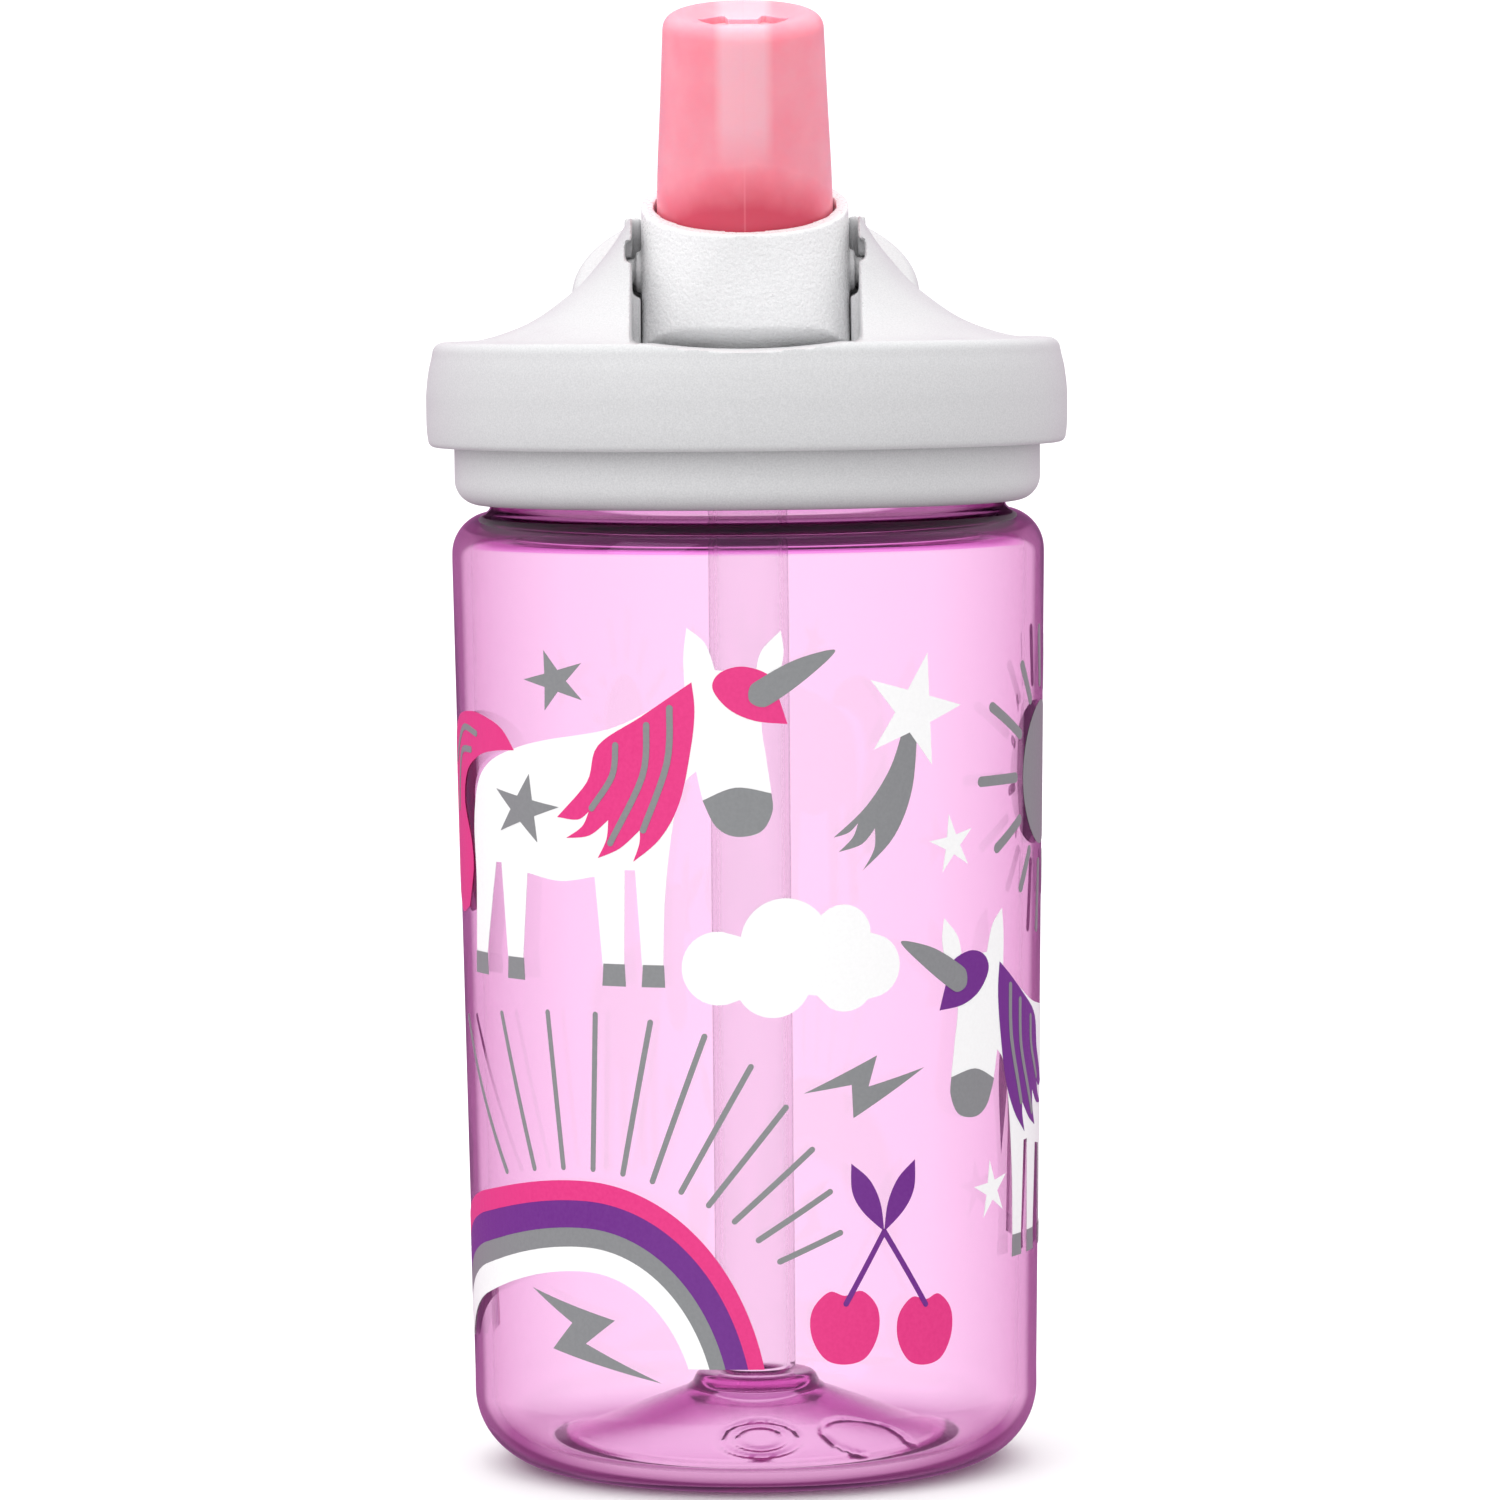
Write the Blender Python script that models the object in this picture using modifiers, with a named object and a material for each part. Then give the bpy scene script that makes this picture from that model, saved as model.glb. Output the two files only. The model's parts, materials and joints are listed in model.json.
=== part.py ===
"""Kids' water bottle with a screw lid, a carry loop and a fold-down straw spout.

Origin: centre of the base, on the surface that the bottle stands on. +Z is up
along the bottle's axis, and the spout folds down towards -Y. Units: metres.
"""

import math

import bmesh
import bpy
from mathutils import Matrix

# ---- Driving dimensions ------------------------------------------------------

ROUND_STEPS = 40            # facets round a large turned piece
SMALL_STEPS = 24            # facets round a small one
GAP = 0.0003                # clearance between neighbouring pieces

# Bottle
WALL = 0.0022
FOOT_RADIUS = 0.0248        # outer edge of the flat ring that the bottle stands on
FOOT_WIDTH = 0.0023
BASE_CORNER = 0.0091        # outer corner radius between base and side
SIDE_HIGH_RADIUS = 0.0355   # at the shoulder; the side starts at FOOT_RADIUS + BASE_CORNER
SHOULDER_CORNER = 0.0050
SHOULDER_START = 0.1097     # height where the side turns into the shoulder
PUSH_UP_SLOPE = math.radians(21.0)
NUB_RADIUS = 0.0074
NUB_TOP = 0.0107
NUB_HOLLOW_RADIUS = 0.0050  # the nub is cored out from below
NUB_HOLLOW_TOP = 0.0080
NECK_RADIUS = 0.0308
NECK_BORE = 0.0284
NECK_TOP = 0.1273

# Screw thread shared by the neck and the lid
THREAD_PITCH = 0.0040
THREAD_TURNS = 1.25
THREAD_BEAD = 0.0009        # radius of the rounded thread bead
NECK_BEAD_RADIUS = 0.0314
LID_BEAD_RADIUS = 0.0322
NECK_BEAD_START = 0.1186
LID_BEAD_START = 0.1169
BEAD_STEPS_PER_TURN = 32

# Lid base
SKIRT_RADIUS = 0.0351
SKIRT_BORE = 0.0328
SKIRT_BOTTOM = 0.1153
SKIRT_ROUNDING = 0.0030
PLATE_BOTTOM = 0.1291
PLATE_TOP = 0.1306
SOCKET_RADIUS = 0.0066      # straw socket under the plate
SOCKET_BOTTOM = 0.1215
PORT_RADIUS = 0.0033
SEAT_RADIUS = 0.0062        # pocket that holds the port seal
SEAT_WALL = 0.0012
SEAT_FLOOR = 0.1302
SEAT_TOP = 0.1329
RIB_RADIUS = 0.0315         # ring that carries the shroud
RIB_WALL = 0.0015
RIB_TOP = 0.1327
VENT_Y = 0.0190
VENT_RADIUS = 0.0015

# Lid shroud
BAND_RADIUS = 0.0384
BAND_BOTTOM = 0.1225
LID_TOP = 0.1350
ROOF = 0.0020               # thickness of the shroud's roof and tower walls
CHANNEL_HALF = 0.0135       # half the gap between the two towers
TROUGH_HALF = 0.0129
TROUGH_RADIUS = 0.0122
CHEEK = 0.0022              # thickness of a tower's inner wall
SCOOP_HALF = 0.0125         # shallow dip in the lid's front edge
SCOOP_DEPTH = 0.0010
GROOVE_LOW = 0.1443         # lead-in groove that a trunnion snaps past
GROOVE_HIGH = 0.1469
GROOVE_DEPTH = 0.0008
GUIDE_INNER = 0.0127        # rib on each cheek, behind the trunnion, that guides the spout
GUIDE_FRONT = 0.0032
GUIDE_BACK = 0.0066
GUIDE_TOP = 0.1496
GUIDE_FOOT_FRONT = -0.0060  # its lower end reaches further forward, below the trunnion's boss
GUIDE_FOOT_TOP = 0.1402
TOWER_FLARE = [             # radius from the axis and height, top to bottom
    (0.0124, 0.1504),
    (0.0133, 0.1501),
    (0.0142, 0.1490),
    (0.0157, 0.1466),
    (0.0175, 0.1443),
    (0.0196, 0.1419),
    (0.0222, 0.1397),
    (0.0256, 0.1374),
    (0.0293, 0.1359),
    (0.0327, 0.1351),
]

# Carry loop
LOOP_Y = 0.0150
LOOP_Z = 0.1400
LOOP_TILT = math.radians(29.4)
LOOP_OUTER = 0.0212
LOOP_INNER = 0.0142
LOOP_LEG = 0.0060
LOOP_THICKNESS = 0.0046
LOOP_EDGE = 0.0015

# Straw and seals
STRAW_RADIUS = 0.0048
STRAW_BORE = 0.0038
STRAW_BOTTOM = 0.0112

# Spout, measured from its pivot, with heights along its own leaning axis
PIVOT_Z = 0.1432
LEAN = math.radians(13.5)
BARREL_RADIUS = 0.0109
COLLAR_HALF = 0.0124
COLLAR_FRONT = -0.0099
AXIS_OFFSET = 0.0025        # the valve's axis lies this far behind the pivot
COLLAR_FRONT_TOP = 0.0067
COLLAR_RIM_SLOPE = math.radians(4.0)
COLLAR_CORNER = 0.0025
COLLAR_LOFT = 0.0086        # the front turns from square to round between minus and plus this
COLLAR_BACK_BOTTOM = -0.0010
POCKET_RADIUS = 0.0109
POCKET_FLOOR = 0.0010
NOZZLE_RADIUS = 0.0045
NOZZLE_BORE = 0.0030
NOZZLE_TOP = 0.0160
TRUNNION_RADIUS = 0.0015
TRUNNION_END = 0.0154
BOSS_RADIUS = 0.0024        # washer face round each trunnion
BOSS_END = 0.0131
CORE_INNER = 0.0074         # moulding pockets in the barrel, each side of the port
CORE_OUTER = 0.0109

# Bite valve
VALVE_BASE_RADIUS = 0.0106
VALVE_TIP_RADIUS = 0.0096
VALVE_BOTTOM = 0.0013
VALVE_TOP = 0.0309
VALVE_BORE = NOZZLE_RADIUS + GAP
SLIT_LENGTH = 0.0080
SLIT_WIDTH = 0.0004


# ---- Helpers -----------------------------------------------------------------

def clear_scene():
    for obj in list(bpy.data.objects):
        bpy.data.objects.remove(obj)


def new_collection(name):
    collection = bpy.data.collections.new(name)
    bpy.context.scene.collection.children.link(collection)
    return collection


def make_material(name, colour, roughness, transmission=0.0):
    material = bpy.data.materials.new(name)
    material.use_nodes = True
    shader = material.node_tree.nodes["Principled BSDF"]
    shader.inputs["Base Color"].default_value = (*colour, 1.0)
    shader.inputs["Roughness"].default_value = roughness
    shader.inputs["Metallic"].default_value = 0.0
    shader.inputs["Transmission Weight"].default_value = transmission
    material.diffuse_color = (*colour, 1.0)
    return material


def arc(centre_a, centre_b, radius, start_deg, end_deg, steps):
    """Points along a circular arc in a flat outline, both ends included."""
    points = []
    for i in range(steps + 1):
        angle = math.radians(start_deg + (end_deg - start_deg) * i / steps)
        points.append((centre_a + radius * math.cos(angle), centre_b + radius * math.sin(angle)))
    return points


def add_object(name, mesh, collection, material=None):
    obj = bpy.data.objects.new(name, mesh)
    collection.objects.link(obj)
    if material is not None:
        obj.data.materials.append(material)
    return obj


def lathe(name, outline, collection, material=None, steps=ROUND_STEPS, closed=True):
    """Turn an outline of (radius, height) points about the Z axis."""
    count = len(outline)
    edges = [(i, i + 1) for i in range(count - 1)]
    if closed:
        edges.append((count - 1, 0))
    mesh = bpy.data.meshes.new(name)
    mesh.from_pydata([(r, 0.0, z) for r, z in outline], edges, [])
    obj = add_object(name, mesh, collection, material)
    screw = obj.modifiers.new("Turn", "SCREW")
    screw.steps = steps
    screw.render_steps = steps
    screw.use_merge_vertices = True
    screw.merge_threshold = 0.00001
    screw.use_smooth_shade = True
    return obj


def extrude_outline(name, outline, thickness, collection, material=None):
    """A flat outline in the local XY plane, thickened evenly on both sides of it."""
    curve = bpy.data.curves.new(name, "CURVE")
    curve.dimensions = "2D"
    curve.fill_mode = "BOTH"
    curve.extrude = thickness / 2
    spline = curve.splines.new("POLY")
    spline.points.add(len(outline) - 1)
    for point, (a, b) in zip(spline.points, outline):
        point.co = (a, b, 0.0, 1.0)
    spline.use_cyclic_u = True
    return curve_to_mesh(curve, collection, material)


def curve_to_mesh(curve, collection, material=None):
    """Replace a curve by a mesh whose caps are welded to its sides."""
    source = bpy.data.objects.new(curve.name, curve)
    bpy.context.scene.collection.objects.link(source)
    evaluated = source.evaluated_get(bpy.context.evaluated_depsgraph_get())
    mesh = bpy.data.meshes.new_from_object(evaluated)
    bpy.data.objects.remove(source)
    work = bmesh.new()
    work.from_mesh(mesh)
    bmesh.ops.remove_doubles(work, verts=work.verts, dist=0.00001)
    bmesh.ops.recalc_face_normals(work, faces=work.faces)
    work.to_mesh(mesh)
    work.free()
    mesh.name = curve.name
    return add_object(curve.name, mesh, collection, material)


def cylinder(name, radius, low, high, collection, steps=SMALL_STEPS):
    """A cylinder along the local Z axis, from low to high."""
    mesh = bpy.data.meshes.new(name)
    work = bmesh.new()
    bmesh.ops.create_cone(
        work,
        cap_ends=True,
        segments=steps,
        radius1=radius,
        radius2=radius,
        depth=high - low,
        matrix=Matrix.Translation((0.0, 0.0, (low + high) / 2)),
    )
    work.to_mesh(mesh)
    work.free()
    return add_object(name, mesh, collection)


def box(name, low, high, collection):
    """A box between two corners."""
    size = [b - a for a, b in zip(low, high)]
    middle = [(a + b) / 2 for a, b in zip(low, high)]
    mesh = bpy.data.meshes.new(name)
    work = bmesh.new()
    bmesh.ops.create_cube(work, size=1.0, matrix=Matrix.Translation(middle) @ Matrix.Diagonal((*size, 1.0)))
    work.to_mesh(mesh)
    work.free()
    return add_object(name, mesh, collection)


def boolean(obj, other, operation="DIFFERENCE"):
    """Cut or join obj with another object, which becomes a hidden guide."""
    modifier = obj.modifiers.new(other.name, "BOOLEAN")
    modifier.operation = operation
    modifier.object = other
    modifier.solver = "EXACT"
    other.hide_render = True
    other.display_type = "WIRE"


def smooth(obj):
    """Shade an object smooth, with its sharp edges kept."""
    obj.data.shade_smooth()
    obj.data.set_sharp_from_angle(angle=math.radians(35.0))


def thread_bead(name, radius, start_height, start_angle, collection):
    """A rounded right-hand thread, thinning into the wall at both ends."""
    curve = bpy.data.curves.new(name, "CURVE")
    curve.dimensions = "3D"
    curve.bevel_depth = THREAD_BEAD
    curve.bevel_resolution = 1
    curve.use_fill_caps = True
    steps = round(THREAD_TURNS * BEAD_STEPS_PER_TURN)
    spline = curve.splines.new("POLY")
    spline.points.add(steps)
    for i, point in enumerate(spline.points):
        turn = THREAD_TURNS * i / steps
        angle = start_angle + 2 * math.pi * turn
        height = start_height + THREAD_PITCH * turn
        point.co = (radius * math.cos(angle), radius * math.sin(angle), height, 1.0)
        point.radius = min(1.0, 0.4 + 0.3 * min(i, steps - i))
    return curve_to_mesh(curve, collection)


# ---- Bottle ------------------------------------------------------------------

def bottle_outline():
    """From the middle of the floor, up the inside, over the rim and down the outside."""
    slope = math.tan(PUSH_UP_SLOPE)
    foot_inner = FOOT_RADIUS - FOOT_WIDTH
    cone_low_radius = 0.0235
    cone_low = WALL + 0.0008
    cone_high = cone_low + (cone_low_radius - NUB_RADIUS) * slope
    shoulder_centre = SIDE_HIGH_RADIUS - SHOULDER_CORNER
    inner_shoulder = SHOULDER_CORNER - WALL
    points = [(0.0, NUB_TOP - 0.0010), (0.0034, NUB_TOP - 0.0010), (0.0044, NUB_TOP)]
    points += [(NUB_RADIUS - 0.0004, NUB_TOP), (NUB_RADIUS, cone_high)]
    points += [(cone_low_radius, cone_low)]
    points += arc(FOOT_RADIUS, BASE_CORNER, BASE_CORNER - WALL, -90, 0, 6)
    points += arc(shoulder_centre, SHOULDER_START, inner_shoulder, 0, 90, 3)
    points += [(NECK_BORE, SHOULDER_START + inner_shoulder + 0.0010)]
    points += [(NECK_BORE, NECK_TOP - 0.0003), (NECK_BORE + 0.0003, NECK_TOP)]
    points += [(NECK_RADIUS - 0.0003, NECK_TOP), (NECK_RADIUS, NECK_TOP - 0.0003)]
    points += [(NECK_RADIUS, SHOULDER_START + SHOULDER_CORNER + 0.0005)]
    points += arc(shoulder_centre, SHOULDER_START, SHOULDER_CORNER, 78, 0, 5)
    points += arc(FOOT_RADIUS, BASE_CORNER, BASE_CORNER, 0, -90, 7)
    points += [(foot_inner, 0.0), (foot_inner - 0.0012, 0.0004)]
    under_high = 0.0004 + (foot_inner - 0.0012 - NUB_RADIUS) * slope
    points += [(NUB_RADIUS, under_high), (NUB_HOLLOW_RADIUS + 0.0006, under_high + 0.0004)]
    points += [(NUB_HOLLOW_RADIUS, NUB_HOLLOW_TOP - 0.0005), (NUB_HOLLOW_RADIUS - 0.0006, NUB_HOLLOW_TOP)]
    points += [(0.0, NUB_HOLLOW_TOP)]
    return points


def build_bottle(parts, guides, material):
    body = lathe("bottle_body", bottle_outline(), parts, material, closed=False)
    thread = thread_bead("neck_thread", NECK_BEAD_RADIUS, NECK_BEAD_START, 0.0, guides)
    boolean(body, thread, "UNION")
    return body


# ---- Lid ---------------------------------------------------------------------

def lid_base_outline():
    """Round the plate, skirt and straw socket, outside first."""
    rounding = SKIRT_RADIUS - SKIRT_ROUNDING
    seat_outer = SEAT_RADIUS + SEAT_WALL
    rib_inner = RIB_RADIUS - RIB_WALL
    points = [(PORT_RADIUS, SEAT_FLOOR), (SEAT_RADIUS, SEAT_FLOOR), (SEAT_RADIUS, SEAT_TOP)]
    points += [(seat_outer, SEAT_TOP), (seat_outer, PLATE_TOP)]
    points += [(rib_inner, PLATE_TOP), (rib_inner, RIB_TOP), (RIB_RADIUS, RIB_TOP), (RIB_RADIUS, PLATE_TOP)]
    points += [(SKIRT_RADIUS - 0.0006, PLATE_TOP), (SKIRT_RADIUS, PLATE_TOP - 0.0006)]
    points += arc(rounding, SKIRT_BOTTOM + SKIRT_ROUNDING, SKIRT_ROUNDING, 0, -66, 5)
    points += [(SKIRT_BORE, SKIRT_BOTTOM + 0.0006), (SKIRT_BORE, PLATE_BOTTOM)]
    points += [(SOCKET_RADIUS, PLATE_BOTTOM), (SOCKET_RADIUS, SOCKET_BOTTOM)]
    points += [(STRAW_RADIUS + GAP, SOCKET_BOTTOM), (STRAW_RADIUS + GAP, PLATE_BOTTOM)]
    points += [(PORT_RADIUS, PLATE_BOTTOM)]
    return points


def pivot_cylinder(name, radius, half_length, guides, steps=ROUND_STEPS):
    """A cylinder along X, centred on the spout's pivot axis."""
    cutter = cylinder(name, radius, -half_length, half_length, guides, steps)
    cutter.rotation_euler = (0.0, math.pi / 2, 0.0)
    cutter.location = (0.0, 0.0, PIVOT_Z)
    return cutter


def build_lid_base(parts, guides, material):
    base = lathe("lid_base", lid_base_outline(), parts, material)
    drop = LID_BEAD_START - NECK_BEAD_START + THREAD_PITCH / 2
    start_angle = 2 * math.pi * drop / THREAD_PITCH     # half a pitch from the neck's thread
    thread = thread_bead("lid_thread", LID_BEAD_RADIUS, LID_BEAD_START, start_angle, guides)
    boolean(base, thread, "UNION")
    seat_outer = SEAT_RADIUS + SEAT_WALL
    boolean(base, pivot_cylinder("seat_saddle", BARREL_RADIUS + GAP, seat_outer + 0.001, guides))
    vent = cylinder("vent_hole", VENT_RADIUS, PLATE_BOTTOM - 0.001, PLATE_TOP + 0.001, guides, 16)
    vent.location = (0.0, VENT_Y, 0.0)
    boolean(base, vent)
    return base


def shroud_outline():
    """A solid bell with the band's outside, hollow underneath."""
    bore = SKIRT_RADIUS + GAP
    under_roof = LID_TOP - ROOF
    points = [(0.0, TOWER_FLARE[0][1])]
    points += TOWER_FLARE
    points += [(0.0362, LID_TOP)]
    points += arc(0.0362, LID_TOP - 0.0014, 0.0014, 68, 22, 2)
    points += [(0.0380, LID_TOP - 0.0030), (BAND_RADIUS, LID_TOP - 0.0062)]
    points += [(BAND_RADIUS, BAND_BOTTOM + 0.0030)]
    points += arc(BAND_RADIUS - 0.0010, BAND_BOTTOM + 0.0008, 0.0008, 0, -90, 2)
    points += [(bore, BAND_BOTTOM), (bore, under_roof), (0.0, under_roof)]
    return points


def tower_hollow_outline():
    """The space inside a tower, one wall thickness in from the flare."""
    under_roof = LID_TOP - ROOF - 0.001
    points = [(0.0, TOWER_FLARE[4][1] + 0.0005)]
    for radius, height in TOWER_FLARE[4:8]:
        points.append((radius - 0.6 * ROOF, height - 0.9 * ROOF))
    points += [(0.0286, LID_TOP - ROOF), (0.0286, under_roof), (0.0, under_roof)]
    return points


def front_scoop(guides):
    """A shallow arc across the lid's front edge, cut from the front to below the spout."""
    radius = (SCOOP_HALF ** 2 + SCOOP_DEPTH ** 2) / (2 * SCOOP_DEPTH)
    reach = math.degrees(math.asin(SCOOP_HALF / radius))
    outline = arc(0.0, LID_TOP - SCOOP_DEPTH + radius, radius, 270 - reach, 270 + reach, 12)
    outline += [(SCOOP_HALF, LID_TOP + 0.002), (-SCOOP_HALF, LID_TOP + 0.002)]
    scoop = extrude_outline("front_scoop", outline, 0.042, guides)
    scoop.rotation_euler = (math.pi / 2, 0.0, 0.0)
    scoop.location = (0.0, -0.026, 0.0)
    return scoop


def build_shroud(parts, guides, material):
    shroud = lathe("lid_shroud", shroud_outline(), parts, material, closed=False)
    hollow = lathe("tower_hollow", tower_hollow_outline(), guides, closed=False)
    cheek_outer = CHANNEL_HALF + CHEEK
    core = box("tower_core", (-cheek_outer, -0.05, 0.12), (cheek_outer, 0.05, 0.16), guides)
    boolean(hollow, core)
    boolean(shroud, hollow)
    channel_floor = LID_TOP - 0.0002
    channel = box("channel", (-CHANNEL_HALF, -0.05, channel_floor), (CHANNEL_HALF, 0.05, 0.16), guides)
    boolean(shroud, channel)
    boolean(shroud, pivot_cylinder("trough", TROUGH_RADIUS, TROUGH_HALF, guides))
    bore = pivot_cylinder("trunnion_bore", TRUNNION_RADIUS + 0.0002, cheek_outer + 0.001, guides, 16)
    boolean(shroud, bore)
    boolean(shroud, front_scoop(guides))
    groove_end = CHANNEL_HALF + GROOVE_DEPTH
    low, high = (-groove_end, -0.05, GROOVE_LOW), (groove_end, -0.0005, GROOVE_HIGH)
    boolean(shroud, box("lead_in_groove", low, high, guides))
    for side in (-1, 1):
        xs = sorted((side * GUIDE_INNER, side * (CHANNEL_HALF + 0.001)))
        where = "left" if side < 0 else "right"
        for name, front, top in (("rib", GUIDE_FRONT, GUIDE_TOP), ("foot", GUIDE_FOOT_FRONT, GUIDE_FOOT_TOP)):
            low, high = (xs[0], front, channel_floor - 0.001), (xs[1], GUIDE_BACK, top)
            boolean(shroud, box(f"guide_{name}_{where}", low, high, guides), "UNION")
    boolean(shroud, loop_shape("loop_socket", GAP, guides))
    return shroud


# ---- Carry loop --------------------------------------------------------------

def loop_shape(name, grow, collection, material=None):
    """The loop's U, tilted up towards the back; grow widens it all round."""
    outer = LOOP_OUTER + grow
    inner = LOOP_INNER - grow
    leg = LOOP_LEG + grow
    outline = [(outer, -leg)]
    outline += arc(0.0, 0.0, outer, 0, 180, 24)
    outline += [(-outer, -leg), (-inner, -leg)]
    outline += arc(0.0, 0.0, inner, 180, 0, 20)
    outline += [(inner, -leg)]
    loop = extrude_outline(name, outline, LOOP_THICKNESS + 2 * grow, collection, material)
    loop.rotation_euler = (LOOP_TILT, 0.0, 0.0)
    loop.location = (0.0, LOOP_Y, LOOP_Z)
    return loop


def build_carry_loop(parts, material):
    loop = loop_shape("carry_loop", 0.0, parts, material)
    bevel = loop.modifiers.new("Rounded edges", "BEVEL")
    bevel.width = LOOP_EDGE
    bevel.segments = 2
    bevel.limit_method = "ANGLE"
    bevel.angle_limit = math.radians(50.0)
    smooth(loop)
    return loop


# ---- Seals and straw ---------------------------------------------------------

def ring(name, inner, outer, low, high, chamfer, parts, material, steps=ROUND_STEPS):
    """A flat ring with broken edges."""
    outline = [(inner + chamfer, high), (outer - chamfer, high), (outer, high - chamfer)]
    outline += [(outer, low + chamfer), (outer - chamfer, low), (inner + chamfer, low)]
    outline += [(inner, low + chamfer), (inner, high - chamfer)]
    return lathe(name, outline, parts, material, steps)


def build_gasket(parts, material):
    low = NECK_TOP + GAP
    high = PLATE_BOTTOM - GAP
    return ring("lid_gasket", NECK_BORE + GAP, SKIRT_BORE - 0.0004, low, high, 0.0003, parts, material)


def build_port_seal(parts, guides, material):
    """A washer whose top is hollowed to the barrel's curve."""
    inner = PORT_RADIUS + 0.0001
    outer = SEAT_RADIUS - GAP
    outline = [(inner, SEAT_TOP), (outer, SEAT_TOP), (outer, SEAT_FLOOR + GAP), (inner, SEAT_FLOOR + GAP)]
    seal = lathe("port_seal", outline, parts, material, SMALL_STEPS)
    boolean(seal, pivot_cylinder("seal_saddle", BARREL_RADIUS + 0.0001, outer + 0.001, guides))
    return seal


def build_vent_valve(parts, material):
    """An umbrella disc below the plate, its stem and bulb above the hole."""
    disc_top = PLATE_BOTTOM - GAP
    stem = VENT_RADIUS - GAP
    bulb_low = PLATE_TOP + GAP
    outline = [(0.0, bulb_low + 0.0011), (0.0010, bulb_low + 0.0009), (0.0018, bulb_low + 0.0003)]
    outline += [(0.0018, bulb_low), (stem, bulb_low), (stem, disc_top)]
    outline += [(0.0038, disc_top), (0.0040, disc_top - 0.0004), (0.0014, disc_top - 0.0010)]
    outline += [(0.0, disc_top - 0.0010)]
    valve = lathe("vent_valve", outline, parts, material, 20, closed=False)
    valve.location = (0.0, VENT_Y, 0.0)
    return valve


def build_straw(parts, material):
    top = PLATE_BOTTOM - GAP
    return ring("straw", STRAW_BORE, STRAW_RADIUS, STRAW_BOTTOM, top, 0.0002, parts, material, 28)


# ---- Spout -------------------------------------------------------------------

def spout_frame():
    """An empty on the pivot, leaning forwards as the open spout does."""
    pivot = bpy.data.objects.new("spout_pivot", None)
    bpy.context.scene.collection.objects.link(pivot)
    pivot.location = (0.0, 0.0, PIVOT_Z)
    pivot.rotation_euler = (LEAN, 0.0, 0.0)
    return pivot


def stem_side_outline():
    """The stem seen from its side: the collar above, the barrel's arc below."""
    back = AXIS_OFFSET + COLLAR_HALF
    front_low = -math.sqrt(BARREL_RADIUS ** 2 - COLLAR_FRONT ** 2)
    start = math.degrees(math.atan2(front_low, COLLAR_FRONT))
    rim_back = COLLAR_FRONT_TOP + (back - COLLAR_FRONT) * math.tan(COLLAR_RIM_SLOPE)
    points = [(COLLAR_FRONT, COLLAR_FRONT_TOP)]
    points += arc(0.0, 0.0, BARREL_RADIUS, start, -20, 16)
    points += [(back, COLLAR_BACK_BOTTOM), (back, rim_back)]
    return points


def stem_plan(guides):
    """The stem's outside along its axis: square at the front below, round above."""
    corner = COLLAR_CORNER
    front = COLLAR_FRONT + corner
    square = arc(0.0, AXIS_OFFSET, COLLAR_HALF, 0, 180, 24)
    square += arc(-COLLAR_HALF + corner, front, corner, 180, 270, 6)
    square += arc(COLLAR_HALF - corner, front, corner, 270, 360, 6)
    circle = arc(0.0, AXIS_OFFSET, COLLAR_HALF, 0, 360, 48)[:-1]
    levels = [(square, -0.030), (square, -COLLAR_LOFT), (circle, COLLAR_LOFT)]
    mesh = bpy.data.meshes.new("stem_plan")
    work = bmesh.new()
    for outline, height in levels:
        for a, b in outline:
            work.verts.new((a, b, height))
    bmesh.ops.convex_hull(work, input=work.verts)
    work.to_mesh(mesh)
    work.free()
    return add_object("stem_plan", mesh, guides)


def on_spout(obj, pivot, offset=0.0):
    """Place a piece in the spout's own leaning frame."""
    obj.parent = pivot
    obj.location = (0.0, offset, 0.0)
    return obj


def build_stem(parts, guides, material, pivot):
    stem = extrude_outline("spout_stem", stem_side_outline(), 2 * COLLAR_HALF, parts, material)
    turn = Matrix.Rotation(math.pi / 2, 4, "Z") @ Matrix.Rotation(math.pi / 2, 4, "X")
    stem.data.transform(turn)
    on_spout(stem, pivot)
    boolean(stem, on_spout(stem_plan(guides), pivot), "INTERSECT")
    for side in (-1, 1):
        ends = sorted((side * (COLLAR_HALF - 0.0008), side * TRUNNION_END))
        name = "trunnion_left" if side < 0 else "trunnion_right"
        trunnion = cylinder(name, TRUNNION_RADIUS, ends[0], ends[1], guides, 16)
        trunnion.data.transform(Matrix.Rotation(math.pi / 2, 4, "Y"))
        boolean(stem, on_spout(trunnion, pivot), "UNION")
        ends = sorted((side * (COLLAR_HALF - 0.0008), side * BOSS_END))
        boss = cylinder(name.replace("trunnion", "boss"), BOSS_RADIUS, ends[0], ends[1], guides, 20)
        boss.data.transform(Matrix.Rotation(math.pi / 2, 4, "Y"))
        boolean(stem, on_spout(boss, pivot), "UNION")
    pocket = cylinder("valve_pocket", POCKET_RADIUS, POCKET_FLOOR, 0.02, guides, ROUND_STEPS)
    boolean(stem, on_spout(pocket, pivot, AXIS_OFFSET))
    nozzle = cylinder("nozzle", NOZZLE_RADIUS, POCKET_FLOOR - 0.0006, NOZZLE_TOP, guides)
    boolean(stem, on_spout(nozzle, pivot, AXIS_OFFSET), "UNION")
    for side in (-1, 1):
        xs = sorted((side * CORE_INNER, side * CORE_OUTER))
        name = "core_left" if side < 0 else "core_right"
        core = box(name, (xs[0], -0.0050, -0.02), (xs[1], 0.0070, POCKET_FLOOR - 0.0016), guides)
        boolean(stem, on_spout(core, pivot))
    bore = cylinder("nozzle_bore", NOZZLE_BORE, -0.0040, 0.02, guides)
    boolean(stem, on_spout(bore, pivot, AXIS_OFFSET))
    port = cylinder("stem_port", NOZZLE_BORE, -0.0150, -0.0020, guides)
    port.location = (0.0, 0.0, PIVOT_Z)
    boolean(stem, port)
    smooth(stem)
    return stem


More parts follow.
